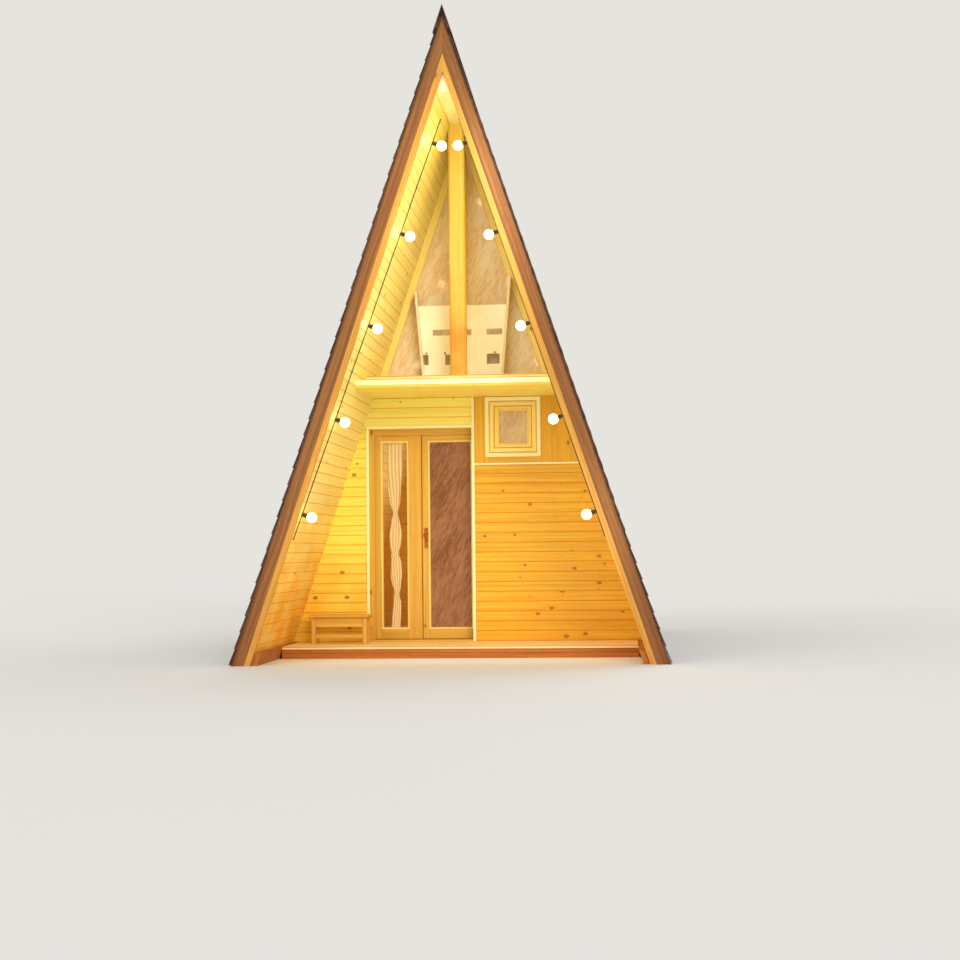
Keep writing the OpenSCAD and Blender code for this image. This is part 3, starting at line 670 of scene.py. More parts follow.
# The lining: pine painted lighter as light, its foot tinted darker and more orange as painted shade
lit_lining_pine = timber(
    "Lining_pine_painted_light_and_shade", (255, 250, 180), (252, 232, 122), knots=0.16, groove=(234, 168, 50),
    foot=(0.97, 0.48, 0.0), foot_range=(0.1, 2.4),
)
trim_pine = timber("Pale_pine_trim", (255, 250, 202), (255, 240, 162), tones=0.1)
joinery_pine = timber("Orange_pine_joinery", (228, 190, 80), (210, 156, 48), tones=0.1)
# The window, the gable bars and the glazing beads: joinery painted lighter, as light on it where it
# stands in shade
lit_window_pine = timber("Pale_window_joinery_with_painted_light", (255, 240, 150), (250, 214, 104), tones=0.1)
# The post: pine painted lighter as light on its top, its foot tinted darker as painted shade
lit_post_pine = timber(
    "Square_post_pine_painted_light_and_shade", (248, 224, 112), (236, 196, 84), knots=0.2, tones=0.1,
    foot=(0.8, 0.32, 0.06), foot_range=(2.6, 4.7),
)
# The inner edge trims: pine painted darker, as shade on their faces
shaded_edge_pine = timber("Pine_edge_with_painted_shade", (228, 172, 70), (200, 134, 46), knots=0.12)
deck_pine = stained("Deck_boards", (254, 236, 176), (246, 212, 140), PINE_KNOT, knots=0.25, gloss=0.6)
red_stain = stained(
    "Red_brown_base_timber", (202, 124, 40), (166, 90, 26), (96, 44, 18), knots=0.15, gloss=0.6,
)
barge_stain = stained(
    "Dark_stained_barge_boards", (168, 112, 56), (128, 76, 34), (84, 46, 22), knots=0.14,
    gloss=0.6, foot=(0.9, 0.76, 0.66), relief=0.001, tones=0.2, contrast=1.2,
)
shingle_stain = stained(
    "Dark_stained_shingles", (122, 86, 60), (74, 50, 36), (44, 30, 22),
    gloss=0.8, tones=0.6, relief=0.0016, contrast=1.3,
)
framing = stained(
    "Rough_framing", (206, 156, 92), (168, 112, 60), PINE_KNOT, knots=0.3, gloss=0.75, on_boards=False,
)
cream_paint = painted_timber("Cream_guard_paint", (255, 252, 222), (252, 244, 204), (206, 162, 96))
# The streak colour of each pane is painted reflection
pane = dim_glass("Brown_night_glass", (126, 74, 36), (178, 124, 80), 0.74)
# The gable's glass is painted lighter, as light on glass that stands in shade
lit_gable_pane = dim_glass("Pale_brown_gable_glass_painted_lighter", (238, 194, 132), (255, 238, 198), 0.88)
window_pane = dim_glass("Tan_window_glass", (206, 168, 112), (236, 212, 166), 0.88)
curtained_pane = dim_glass("Clear_curtained_glass", (160, 92, 40), (200, 140, 76), 0.08)
bronze = metal("Bronze_ironwork", (184, 92, 30), (226, 140, 62), 0.34, metallic=0.6)
steel_nail = metal("Dull_nail_heads", (92, 82, 72), (140, 128, 112), 0.4)
black_plastic = moulded("Black_cable_and_holders", (24, 23, 22), (60, 56, 52), 0.4)
globe_glass = lit_glass("Warm_lit_globes", (255, 244, 214), (255, 240, 200), (255, 214, 130), 7.5)
# The curtain's last number is a faint glow: painted light, though the cloth is no lamp
curtain_cotton = cloth("Cream_curtain_cotton", (255, 240, 170), (196, 112, 40), 0.12)

# CAD nodes that stay as they are
kept_nodes = {
    "left_roof_panel": framing, "right_roof_panel": framing, "left_door_glass": curtained_pane,
    "right_door_glass": pane, "window_glass": window_pane, "gable_glass": lit_gable_pane,
    "rear_window_glass": pane,
}
for node, finish in kept_nodes.items():
    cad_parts[node].data.materials.clear()
    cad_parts[node].data.materials.append(finish)


# Roof

SHINGLE_GAUGE = 0.158
SHINGLE_BUTT = 0.0105
SHINGLE_TIP = 0.003
# The first course's butt above the ground, measured up the slope
SHINGLE_OFFSET = 0.014
SHINGLE_WIDTH, SHINGLE_GAP = (0.09, 0.21), (0.001, 0.0025)
SHINGLE_LENGTH = 1.9 * SHINGLE_GAUGE
# Most by which a butt is set up the slope, and by which it stands out
SHINGLE_STAGGER, SHINGLE_LIFT = 0.006, 0.0015
# What a shingle's tone gains at its butt, lighter as weathering, and at its tip, darker as painted shade
# under the next course
SHINGLE_WEAR_AND_SHADE = (0.35, -1.0)
# The bed under the shingles starts at this level depth
SHINGLE_BED = 0.0225


def slope_points(side, z, y, sunk):
    """Points of a slope's outer face at a height, sunk below it at right angles."""
    return at(side * (outer_x(z) - sunk * SLOPE_RISE), y, z - sunk * SLOPE_RUN)


def shingles(side, seed):
    """Courses of split shingles, each a wedge from its thick butt up under the next course.

    A point lies some way up the slope, some way along the eaves and some way under the outer face,
    which falls by one butt's thickness for each course. Each shingle darkens from its butt upwards, as
    painted shade under the next course.
    """
    draw = np.random.default_rng(seed)
    slant = APEX / SLOPE_RISE
    rings, tones = [], []
    for butt in np.arange(SHINGLE_OFFSET, slant - 0.1, SHINGLE_GAUGE):
        edges = np.concatenate([[0], np.cumsum(draw.uniform(*SHINGLE_WIDTH, 60))])
        edges = edges[: np.searchsorted(edges, BACK - FRONT) + 1]
        edges = FRONT + (BACK - FRONT) * edges / edges[-1]
        gap = draw.uniform(*SHINGLE_GAP, len(edges))
        left, right = edges[:-1] + gap[:-1], edges[1:] - gap[1:]
        left[0], right[-1] = FRONT, BACK
        count = len(left)
        low = butt + draw.uniform(0, SHINGLE_STAGGER, count)
        high = np.full(count, min(butt + SHINGLE_LENGTH, slant - 0.004))
        lift = draw.uniform(0, SHINGLE_LIFT, count)
        tip = (high - low) * (SHINGLE_BUTT / SHINGLE_GAUGE) + lift
        ends = []
        butt_end, tip_end = (low, lift, lift + SHINGLE_BUTT - 0.001), (high, tip, tip + SHINGLE_TIP)
        for run, top, bottom in (butt_end, tip_end):
            section = ((left, top), (right, top), (right, bottom), (left, bottom))
            corners = [slope_points(side, run * SLOPE_RISE, y, sunk) for y, sunk in section]
            ends.append(np.stack(corners, axis=1))
        rings.append(np.stack(ends, axis=1))
        tones.append(draw.random(count)[:, None] + SHINGLE_WEAR_AND_SHADE)
    rings = np.concatenate(rings)
    grain = at(rings @ np.array([-side * SLOPE_RUN, 0, SLOPE_RISE]), rings[..., 1], 0)
    grain[..., :2] += draw.uniform(-PATTERN, PATTERN, (len(rings), 1, 1, 2))
    return solids(rings, grain, np.concatenate(tones))


def shingle_bed(side):
    """The layer that carries the shingles, between two level depths."""
    foot, top = (side * (FOOT_HALF - SHINGLE_BED), 0.0), (0.0, APEX - SHINGLE_BED / RUN)
    inner_foot, inner_top = (side * (FOOT_HALF - COVER), 0.0), (0.0, APEX - COVER / RUN)
    return carried([foot, inner_foot, inner_top, top], FRONT, BACK, seed=11)


# Y between which the joints of the lining's rows lie
LINING_JOINTS = (-0.4, 2.2)


def lining_boards(side, seed):
    """Pine boards along the slope's inner face, each row in two lengths with a joint indoors."""
    lining = box_of("right_roof_lining")
    edges = courses(0.0, APEX - ROOF_BAND / RUN, BOARD * SLOPE_RISE)
    rows = len(edges) - 1
    joint = np.random.default_rng(seed).uniform(*LINING_JOINTS, rows)
    starts = np.concatenate([np.full(rows, lining.front), joint])
    ends = np.concatenate([joint, np.full(rows, lining.back)])
    return laid(
        np.tile(edges[:-1], 2), np.tile(edges[1:], 2),
        lambda z: at(side * (outer_x(z) - ROOF_BAND), starts, z),
        lambda z: at(side * (outer_x(z) - ROOF_BAND), ends, z),
        (side * SLOPE_RISE, 0, SLOPE_RUN), (ROOF_BAND - LINING) * SLOPE_RISE,
        ease=0.011, drop=0.5, seed=seed,
    )


# Barge board nails: distance from its edges, lowest place, upper limit and spacing
NAIL_IN, NAIL_HEIGHTS = 0.03, (0.35, 5.6, 0.55)
for side, label in ((-1, "left"), (1, "right")):
    put(
        f"{label}_shingles", [shingles(side, 20 + side), shingle_bed(side)],
        shingle_stain, "roofing", replaces=f"{label}_roof_cover",
    )
    put(
        f"{label}_lining_boards", [lining_boards(side, 30 + side)],
        lit_lining_pine, "pine_boards", replaces=f"{label}_roof_lining",
    )
    barge = box_of(f"{label}_front_barge")
    face = (barge.front, barge.back - barge.front, -1)
    put(
        f"{label}_barge_board", [verge_board(side, COVER, TRIM - HAIR, *face, 40 + side)],
        barge_stain, "dark_timber", replaces=f"{label}_front_barge",
    )
    put(
        f"{label}_inner_trim", [verge_board(side, TRIM, ROOF_BAND, *face, 50 + side)],
        shaded_edge_pine, "pine_trim", replaces=f"{label}_front_trim",
    )
    heights = np.repeat(np.arange(*NAIL_HEIGHTS), 2)
    depths = np.tile([COVER + NAIL_IN, TRIM - NAIL_IN], len(heights) // 2)
    spots = at(side * (outer_x(heights) - depths), barge.front, heights)
    put(f"{label}_barge_nails", [dome(spots, (0, -1, 0))], steel_nail, "handle_bronze")

cap = box_of("ridge_cap")
cap_thick = (cap.top - APEX) * RUN - FIT
cap_edge = outer_x(cap.bottom) + FIT
cap_joints, CAP_GAP = np.linspace(FRONT, BACK, 4), 0.001
cap_boards = []
for side in (-1, 1):
    outline = [
        (side * FIT / 2, cap.top), (side * (cap_edge + cap_thick), cap.bottom),
        (side * cap_edge, cap.bottom), (side * FIT / 2, APEX + FIT / RUN / 2),
    ]
    half_cap = carried(outline, cap_joints[:-1] + CAP_GAP, cap_joints[1:] - CAP_GAP, seed=60 + side)
    half_cap["tone"] = 0.55 + 0.2 * half_cap["tone"]
    cap_boards.append(half_cap)
put("ridge_cap_boards", cap_boards, shingle_stain, "roofing", replaces="ridge_cap")

beam = box_of("ridge_beam")
BEAM_EASE, BEAM_EASE_UP = 0.004, 0.006
outline = [
    (beam.left + BEAM_EASE, beam.bottom), (beam.right - BEAM_EASE, beam.bottom),
    (beam.right, beam.bottom + BEAM_EASE_UP), (0, beam.top), (beam.left, beam.bottom + BEAM_EASE_UP),
]
put(
    "ridge_beam_timber", [carried(outline, beam.front, beam.back, seed=63)],
    trim_pine, "pine_trim", replaces="ridge_beam",
)

barge = box_of("rear_barge")
REAR_JOINT = 0.115
rear_layers = ((COVER, REAR_JOINT), (REAR_JOINT + HAIR, ROOF_BAND))
rear_boards = [
    verge_board(side, near, far, barge.back, barge.back - barge.front, 1, 64 + side + index)
    for side in (-1, 1) for index, (near, far) in enumerate(rear_layers)
]
put("rear_barge_boards", rear_boards, barge_stain, "dark_timber", replaces="rear_barge")


# Base, floors and decks

sills = box_of("base_sills")
SILL_JOINT = 0.4
sill = [
    (FOOT_HALF - ROOF_BAND - SILL_IN + FIT, 0.0), (FOOT_HALF - ROOF_BAND - FIT, 0.0),
    (inner_x(FLOOR), FLOOR), (inner_x(FLOOR) - SILL_IN + 2 * FIT, FLOOR),
]
sill_boards = [
    carried(
        [(side * x, z) for x, z in sill], [sills.front, SILL_JOINT], [SILL_JOINT - 0.002, sills.back],
        seed=70 + side,
    )
    for side in (-1, 1)
]
put("sill_timbers", sill_boards, red_stain, "dark_timber", replaces="base_sills")

# Boards over a bed of wider ones, with a hair's breadth between the two
floor_half = inner_x(FLOOR) - SILL_IN
FLOOR_BOARD = 0.025
floor_bed = FLOOR - FLOOR_BOARD - HAIR
ground = box_of("ground_floor")
floor_parts = [
    deep_boards(courses(-floor_half, floor_half, 0.12), FLOOR, ground, FLOOR_BOARD, ease=0.002, seed=73),
    deep_boards(courses(-floor_half, floor_half, 0.3), floor_bed, ground, floor_bed, seed=74),
]
put("floor_boards", floor_parts, joinery_pine, "pine_boards", replaces="ground_floor")

porch = box_of("porch_frame")
riser_half = inner_x(porch.top) - SILL_IN
RISER, RISER_JOINT = 0.025, 0.052
BEARER, BEARER_OUT = 0.05, 1.3
riser_parts = [
    level_boards(levels, -riser_half, riser_half, porch.front, RISER, seed=seed)
    for levels, seed in (((0.0, RISER_JOINT - 0.001), 75), ((RISER_JOINT + 0.001, porch.top), 76))
]
bearer_x = np.linspace(-BEARER_OUT, BEARER_OUT, 4)
riser_parts.append(beams(
    at(bearer_x - BEARER / 2, porch.front + RISER + HAIR, 0.0),
    at(bearer_x + BEARER / 2, porch.back, porch.top), 1, 0, seed=77,
))
put("porch_riser_and_bearers", riser_parts, red_stain, "dark_timber", replaces="porch_frame")

DECK_GAP = 0.004
deck_boards = wide_boards(
    box_of("porch_deck"), FLOOR, floor_half, FLOOR - porch.top,
    pitch=0.098, gap=DECK_GAP, ease=0.004, seed=78,
)
put("porch_deck_boards", [deck_boards], deck_pine, "pine_boards", replaces="porch_deck")

loft = box_of("loft_floor")
loft_half = inner_x(DECK_TOP)
LOFT_CEILING, LOFT_BOARD, LOFT_JOIST = 0.02, 0.028, 0.04
loft_joist_x = courses(-0.8, 0.8, 0.4)
loft_parts = [
    wide_boards(loft, WALL_TOP, inner_x(WALL_TOP), LOFT_CEILING, up=-1, seed=80),
    deep_boards(courses(-loft_half, loft_half, 0.12), DECK_TOP, loft, LOFT_BOARD, ease=0.002, seed=81),
    beams(
        at(loft_joist_x - LOFT_JOIST / 2, loft.front, WALL_TOP + LOFT_CEILING + HAIR),
        at(loft_joist_x + LOFT_JOIST / 2, loft.back, DECK_TOP - LOFT_BOARD - HAIR), 1, 0, seed=82,
    ),
]
put("loft_boards_and_joists", loft_parts, pine, "pine_boards", replaces="loft_floor")

soffit = wide_boards(
    box_of("ledge"), WALL_TOP, inner_x(WALL_TOP), LEDGE_TOP - WALL_TOP, up=-1, ease=0.003, seed=83,
)
put("soffit_boards", [soffit], lit_soffit_pine, "pine_boards", replaces="ledge")

fascia = box_of("ledge_fascia")
fascia_part = level_boards(
    (fascia.bottom, fascia.top), slope(-1), slope(1), fascia.front, fascia.back - fascia.front,
    ease=0.006, seed=84,
)
put("fascia_board", [fascia_part], trim_pine, "pine_trim", replaces="ledge_fascia")

balcony = box_of("balcony_deck")
BALCONY_BOARD, RIM_IN, RIM, JOIST = 0.03, 0.012, 0.024, 0.045
under_deck = DECK_TOP - BALCONY_BOARD - HAIR
joist_x = np.linspace(-0.82, 0.82, 5)
balcony_parts = [
    wide_boards(
        balcony, DECK_TOP, loft_half, BALCONY_BOARD, pitch=0.11, gap=DECK_GAP, ease=0.005, seed=85,
    ),
    level_boards((LEDGE_TOP, under_deck), slope(-1), slope(1), balcony.front + RIM_IN, RIM, seed=86),
    beams(
        at(joist_x - JOIST / 2, balcony.front + RIM_IN + RIM + HAIR, LEDGE_TOP),
        at(joist_x + JOIST / 2, balcony.back, under_deck), 1, 0, seed=87,
    ),
]
put("balcony_deck_boards", balcony_parts, deck_pine, "pine_boards", replaces="balcony_deck")


# Front wall

JAMB = 0.014
grooved = {"y": WALL_FRONT, "thick": WALL, "ease": 0.013, "drop": 0.45, "back": 0.002}
jamb = {"y": WALL_FRONT, "thick": WALL, "ease": 0.002}
left_wall = [
    level_boards(courses(FLOOR, DOOR_TOP), slope(-1), DOOR_LEFT - JAMB, seed=90, **grooved),
    upright_boards((DOOR_LEFT - JAMB, DOOR_LEFT), FLOOR, DOOR_TOP, seed=91, **jamb),
]
put("left_wall_boards", left_wall, lit_left_wall_pine, "pine_boards", replaces="front_wall_left")
wall_over_door = [
    level_boards(courses(DOOR_TOP + JAMB, WALL_TOP), slope(-1), DOOR_RIGHT, seed=92, **grooved),
    level_boards((DOOR_TOP, DOOR_TOP + JAMB), slope(-1), DOOR_RIGHT, seed=93, **jamb),
]
put("boards_over_door", wall_over_door, lit_soffit_pine, "pine_boards", replaces="front_wall_over_door")
right_wall = [
    level_boards(courses(FLOOR, PANEL), DOOR_RIGHT + JAMB, slope(1), seed=94, **grooved),
    upright_boards((DOOR_RIGHT, DOOR_RIGHT + JAMB), FLOOR, PANEL, seed=95, **jamb),
]
put("right_wall_boards", right_wall, pine, "pine_boards", replaces="front_wall_right")

WINDOW_TRIM = 0.04
window = box_of("window_frame")
hole_left, hole_right = window.left + WINDOW_TRIM, window.right - WINDOW_TRIM
hole_bottom, hole_top = window.bottom + WINDOW_TRIM, window.top - WINDOW_TRIM
hole = (hole_left, hole_right, hole_bottom, hole_top)
panelled = {"y": WALL_FRONT, "thick": WALL, "ease": 0.0016, "back": 0.0016}
PANEL_BOARD = 0.11
corner = inner_x(PANEL)
right_edges = [*courses(hole_right, inner_x(WALL_TOP), PANEL_BOARD), corner - PANEL_BOARD, corner]
panel_parts = [
    upright_boards((DOOR_RIGHT, hole_left), PANEL, WALL_TOP, seed=97, **panelled),
    level_boards((PANEL, hole_bottom), hole_left, hole_right, seed=98, **panelled),
    level_boards((hole_top, WALL_TOP), hole_left, hole_right, seed=99, **panelled),
    upright_boards(right_edges, PANEL, lambda x: np.minimum(WALL_TOP, inner_z(x)), seed=100, **panelled),
]
put("window_panel_boards", panel_parts, pine, "pine_joinery", replaces="front_wall_window")

TRIM_FACE, JOINT_TRIM = 0.03, 0.02
trim = box_of("wall_trim")
flat = {"y": trim.front, "thick": trim.back - trim.front}
corner_x = DOOR_RIGHT - TRIM_FACE / 3
trim_parts = [
    upright_boards((trim.left, trim.left + TRIM_FACE), FLOOR, DOOR_TOP, seed=101, **flat),
    level_boards((DOOR_TOP, DOOR_TOP + TRIM_FACE), trim.left, corner_x, seed=102, **flat),
    upright_boards((corner_x, corner_x + TRIM_FACE), FLOOR, WALL_TOP, seed=103, **flat),
    level_boards(
        (PANEL - JOINT_TRIM / 2, PANEL + JOINT_TRIM / 2), corner_x + TRIM_FACE, slope(1),
        seed=104, **flat,
    ),
]
put("wall_trims", trim_parts, trim_pine, "pine_trim", replaces="wall_trim")


# Window

WINDOW_FACE, SASH_IN, SASH = 0.05, 0.022, 0.044
# Sections of the mouldings: distance inside the outline, and height over its face
CASING = [(0, 0), (0, 0.010), (0.004, 0.014), (0.030, 0.014), (0.036, 0.011), (0.040, 0.009), (0.040, 0)]
WINDOW_FRAME = [
    (0, -WALL), (0, -0.014), (0.008, -0.014), (0.009, -0.001), (0.011, 0), (0.042, 0), (0.048, -0.003),
    (0.050, -0.008), (0.050, -WALL),
]
WINDOW_SASH = [
    (0, -SASH), (0, -0.012), (0.005, -0.012), (0.007, -0.002), (0.010, 0), (0.029, 0), (0.033, -0.007),
    (0.037, -0.007), (0.040, 0.001), (0.046, 0.001), (0.054, -0.010), (0.054, -SASH),
]
casing = rim(hole, WALL_FRONT, CASING, grow=WINDOW_TRIM, seed=110)
put("window_casing", [casing], trim_pine, "pine_trim")
window_parts = [
    rim(hole, WALL_FRONT, WINDOW_FRAME, seed=111),
    rim(hole, WALL_FRONT + SASH_IN, WINDOW_SASH, grow=-WINDOW_FACE, seed=112),
]
put("window_frame_and_sash", window_parts, lit_window_pine, "pine_joinery", replaces="window_frame")


# Double door

left_leaf, right_leaf = box_of("left_door_leaf"), box_of("right_door_leaf")
LEAF_FRONT, LEAF_BACK = right_leaf.front, right_leaf.back
LEAF_GAP = 0.006


def leaf_parts(label, seed):
    """Stiles and rails of a leaf, round the pane that its glass fills."""
    leaf, glass = box_of(f"{label}_door_leaf"), box_of(f"{label}_door_glass")
    finish = {"y": LEAF_FRONT, "thick": LEAF_BACK - LEAF_FRONT, "ease": 0.003, "back": 0.003}
    stiles = ((leaf.left, glass.left), (glass.right, leaf.right))
    rails = ((leaf.bottom, glass.bottom), (glass.top, leaf.top))
    return [
        upright_boards(xs, leaf.bottom, leaf.top, seed=seed + i, **finish) for i, xs in enumerate(stiles)
    ] + [
        level_boards(levels, glass.left + FIT, glass.right - FIT, seed=seed + 3 + i, **finish)
        for i, levels in enumerate(rails)
    ]


# Beads round a pane: a raised one in front, which laps over the leaf, and a flush one behind
BEAD_LAP = 0.013
FRONT_BEAD = [
    (0, 0), (0, 0.0015), (0.003, 0.004), (0.010, 0.004), (0.014, 0.0005), (0.0175, -0.006),
    (0.0195, -0.0175), (BEAD_LAP, -0.0175), (BEAD_LAP, 0),
]
BACK_BEAD = [
    (0, -0.0175), (0, -0.004), (0.0015, -0.0025), (0.004, -0.004), (0.0065, -0.008), (0.0065, -0.0175),
]


def glazing_beads(label, seed):
    """The beads in front of and behind a leaf's pane."""
    glass = box_of(f"{label}_door_glass")
    pane_hole = (glass.left, glass.right, glass.bottom, glass.top)
    return [
        rim(pane_hole, LEAF_FRONT, FRONT_BEAD, grow=BEAD_LAP, seed=seed),
        rim(pane_hole, LEAF_BACK, BACK_BEAD, facing=1, seed=seed),
    ]


rail_z = (box_of("left_door_glass").top + left_leaf.top) / 2
BATTEN, BATTEN_IN = 0.024, (0.0425, 0.065)
batten = beams(
    (left_leaf.left + BATTEN_IN[0], LEAF_BACK, rail_z - BATTEN / 2),
    (left_leaf.right - BATTEN_IN[1], left_leaf.back, rail_z + BATTEN / 2),
    0, 2, ease=0.004, end_ease=0.003, seed=129,
)
for label, seed, extra in (("left", 120, [batten]), ("right", 130, [])):
    put(
        f"{label}_leaf_joinery", leaf_parts(label, seed) + extra,
        joinery_pine, "pine_joinery", body=f"{label}_leaf", replaces=f"{label}_door_leaf",
    )
for label, seed in (("left", 126), ("right", 136)):
    put(
        f"{label}_leaf_glazing_beads", glazing_beads(label, seed),
        lit_window_pine, "pine_joinery", body=f"{label}_leaf",
    )

STOP, STOP_LAP = 0.025, 0.012
door_frame = box_of("door_frame")
inside_left, inside_right = left_leaf.left - LEAF_GAP, right_leaf.right + LEAF_GAP
head, threshold = left_leaf.top + LEAF_GAP, left_leaf.bottom - LEAF_GAP
stop_left, stop_right = left_leaf.left + STOP_LAP, right_leaf.right - STOP_LAP
frame_left = -inner_x(door_frame.top)
jambs = {"y": WALL_BACK, "thick": LEAF_BACK - WALL_BACK}
stops = {"y": WALL_BACK, "thick": STOP, "ease": 0.002}
frame_parts = [
    upright_boards((frame_left, inside_left), FLOOR, door_frame.top, seed=140, **jambs),
    upright_boards((inside_right, door_frame.right), FLOOR, door_frame.top, seed=141, **jambs),
    level_boards((head, door_frame.top), inside_left, inside_right, seed=142, **jambs),
    level_boards((FLOOR, threshold), inside_left, inside_right, seed=143, **jambs),
    level_boards(
        (FLOOR, threshold), DOOR_LEFT, DOOR_RIGHT, WALL_FRONT, WALL - HAIR, ease=0.004, seed=144,
    ),
    upright_boards((inside_left, stop_left), threshold, head, seed=145, **stops),
    upright_boards((stop_right, inside_right), threshold, head, seed=146, **stops),
    level_boards((left_leaf.top - STOP_LAP, head), stop_left, stop_right, seed=147, **stops),
]
put("door_lining_and_stops", frame_parts, joinery_pine, "pine_joinery", replaces="door_frame")


# Ironwork of the doors

KNOB_PLATE, PLATE_HALF = 0.005, (0.019, 0.105)
PLATE_Z, KNOB_UP, SCREW_UP, KEYHOLE_UP = 1.175, 0.03, 0.092, -0.045
# Heights over the plate and radii of a knob, and of the rim of a keyhole
KNOB = [
    (0.0, 0.014), (0.0, 0.0145), (0.002, 0.0125), (0.004, 0.0095), (0.015, 0.0085), (0.022, 0.0092),
    (0.0265, 0.0135), (0.0295, 0.0195), (0.0335, 0.0232), (0.0385, 0.0248), (0.0435, 0.0244),
    (0.048, 0.0222), (0.0515, 0.0182), (0.0538, 0.0128), (0.0548, 0.0068), (0.055, 0.0012),
]
KEYHOLE = [(0.0, 0.0085), (0.0015, 0.0082), (0.0018, 0.005), (0.0008, 0.0045), (0.0006, 0.0005)]


def knob_set(x, y, facing):
    """A plate with its knob, two screws and a keyhole on one face of a leaf."""
    out = (0, facing, 0)
    front = y + facing * KNOB_PLATE
    ways = np.array([(-1, -1), (-1, 1), (1, 1), (1, -1)]) * PLATE_HALF
    plate = at(x + ways[:, 0], front, PLATE_Z + ways[:, 1])
    return [
        boards(plate, (0, -facing, 0), KNOB_PLATE, ease=0.0018, back=0.0002, end_ease=0.0018, seed=150),
        turned(KNOB, (x, front, PLATE_Z + KNOB_UP), out, sides=36),
        dome(at(x, front, PLATE_Z + np.array([-SCREW_UP, SCREW_UP])), out, 0.004),
        turned(KEYHOLE, (x, front, PLATE_Z + KEYHOLE_UP), out, sides=20),
    ]


HINGE_PIN_BACK = 0.008
KNUCKLE, KNUCKLE_R, KNUCKLE_EASE = 0.045, 0.008, (0.0012, 0.0015)
HINGE_PLATE, HINGE_REACH, HINGE_IN = 0.003, 0.04, 0.22
# A hinge's screws: radius, distance from the pin, and heights as shares of a knuckle's
HINGE_SCREW, HINGE_SCREW_OUT, HINGE_SCREWS = 0.0032, 0.026, (0.2, 0.5, 0.8)
hinge_heights = np.array([
    left_leaf.bottom + HINGE_IN, (left_leaf.bottom + left_leaf.top) / 2, left_leaf.top - HINGE_IN,
])


def hinge_halves(x, side, on_leaf):
    """Hinge halves: a barrel round the pin and a plate with three screws."""
    low = HAIR if on_leaf else -KNUCKLE
    high = low + KNUCKLE
    end_r, ease = KNUCKLE_R - KNUCKLE_EASE[0], KNUCKLE_EASE[1]
    barrel = [(low, end_r), (low + ease, KNUCKLE_R), (high - ease, KNUCKLE_R), (high, end_r)]
    way = side if on_leaf else -side
    near, far = sorted((x, x + way * HINGE_REACH))
    plate_face = LEAF_BACK + HINGE_PLATE
    plates = beams(
        at(near, LEAF_BACK, hinge_heights + low), at(far, plate_face, hinge_heights + high),
        2, 0, ease=0.0008, end_ease=0.0008, seed=151,
    )
    screws = np.concatenate([hinge_heights + low + KNUCKLE * share for share in HINGE_SCREWS])
    spots = at(x + way * HINGE_SCREW_OUT, plate_face, screws)
    pins = at(x, LEAF_BACK + HINGE_PIN_BACK, hinge_heights)
    return [turned(barrel, pins, (0, 0, 1), sides=20), plates, dome(spots, (0, 1, 0), HINGE_SCREW)]


knob_x = (right_leaf.left + box_of("right_door_glass").left) / 2
knob_parts = knob_set(knob_x, LEAF_FRONT, -1) + knob_set(knob_x, LEAF_BACK, 1)
left_pin, right_pin = left_leaf.left - LEAF_GAP / 2, right_leaf.right + LEAF_GAP / 2
put(
    "left_leaf_hinges", hinge_halves(left_pin, 1, True), bronze, "handle_bronze",
    body="left_leaf", replaces="left_door_ironwork",
)
put(
    "right_leaf_knobs_and_hinges", hinge_halves(right_pin, -1, True) + knob_parts,
    bronze, "handle_bronze", body="right_leaf", replaces="right_door_ironwork",
)
put(
    "frame_hinge_halves", hinge_halves(left_pin, 1, False) + hinge_halves(right_pin, -1, False),
    bronze, "handle_bronze", replaces="door_hinges",
)


# Curtain behind the left pane

CURTAIN_FLAT = (0.30, 1.95)
CURTAIN_PLEATS = 4
TIE_Z = 1.44
TWISTS = (1.02, 0.60)
# Heights of the gathered curtain and its width at each
CURTAIN_SHAPE = np.array([
    (2.199, 0.156), (1.95, 0.152), (1.70, 0.134), (1.53, 0.098), (TIE_Z, 0.044), (1.35, 0.092),
    (1.22, 0.132), (1.10, 0.112), (TWISTS[0], 0.070), (0.94, 0.104), (0.80, 0.118), (0.68, 0.082),
    (TWISTS[1], 0.048), (0.52, 0.078), (0.40, 0.090), (0.25, 0.092),
])
curtain_box = box_of("door_curtain")
curtain_x = (curtain_box.left + curtain_box.right) / 2
curtain_y = (curtain_box.front + curtain_box.back) / 2


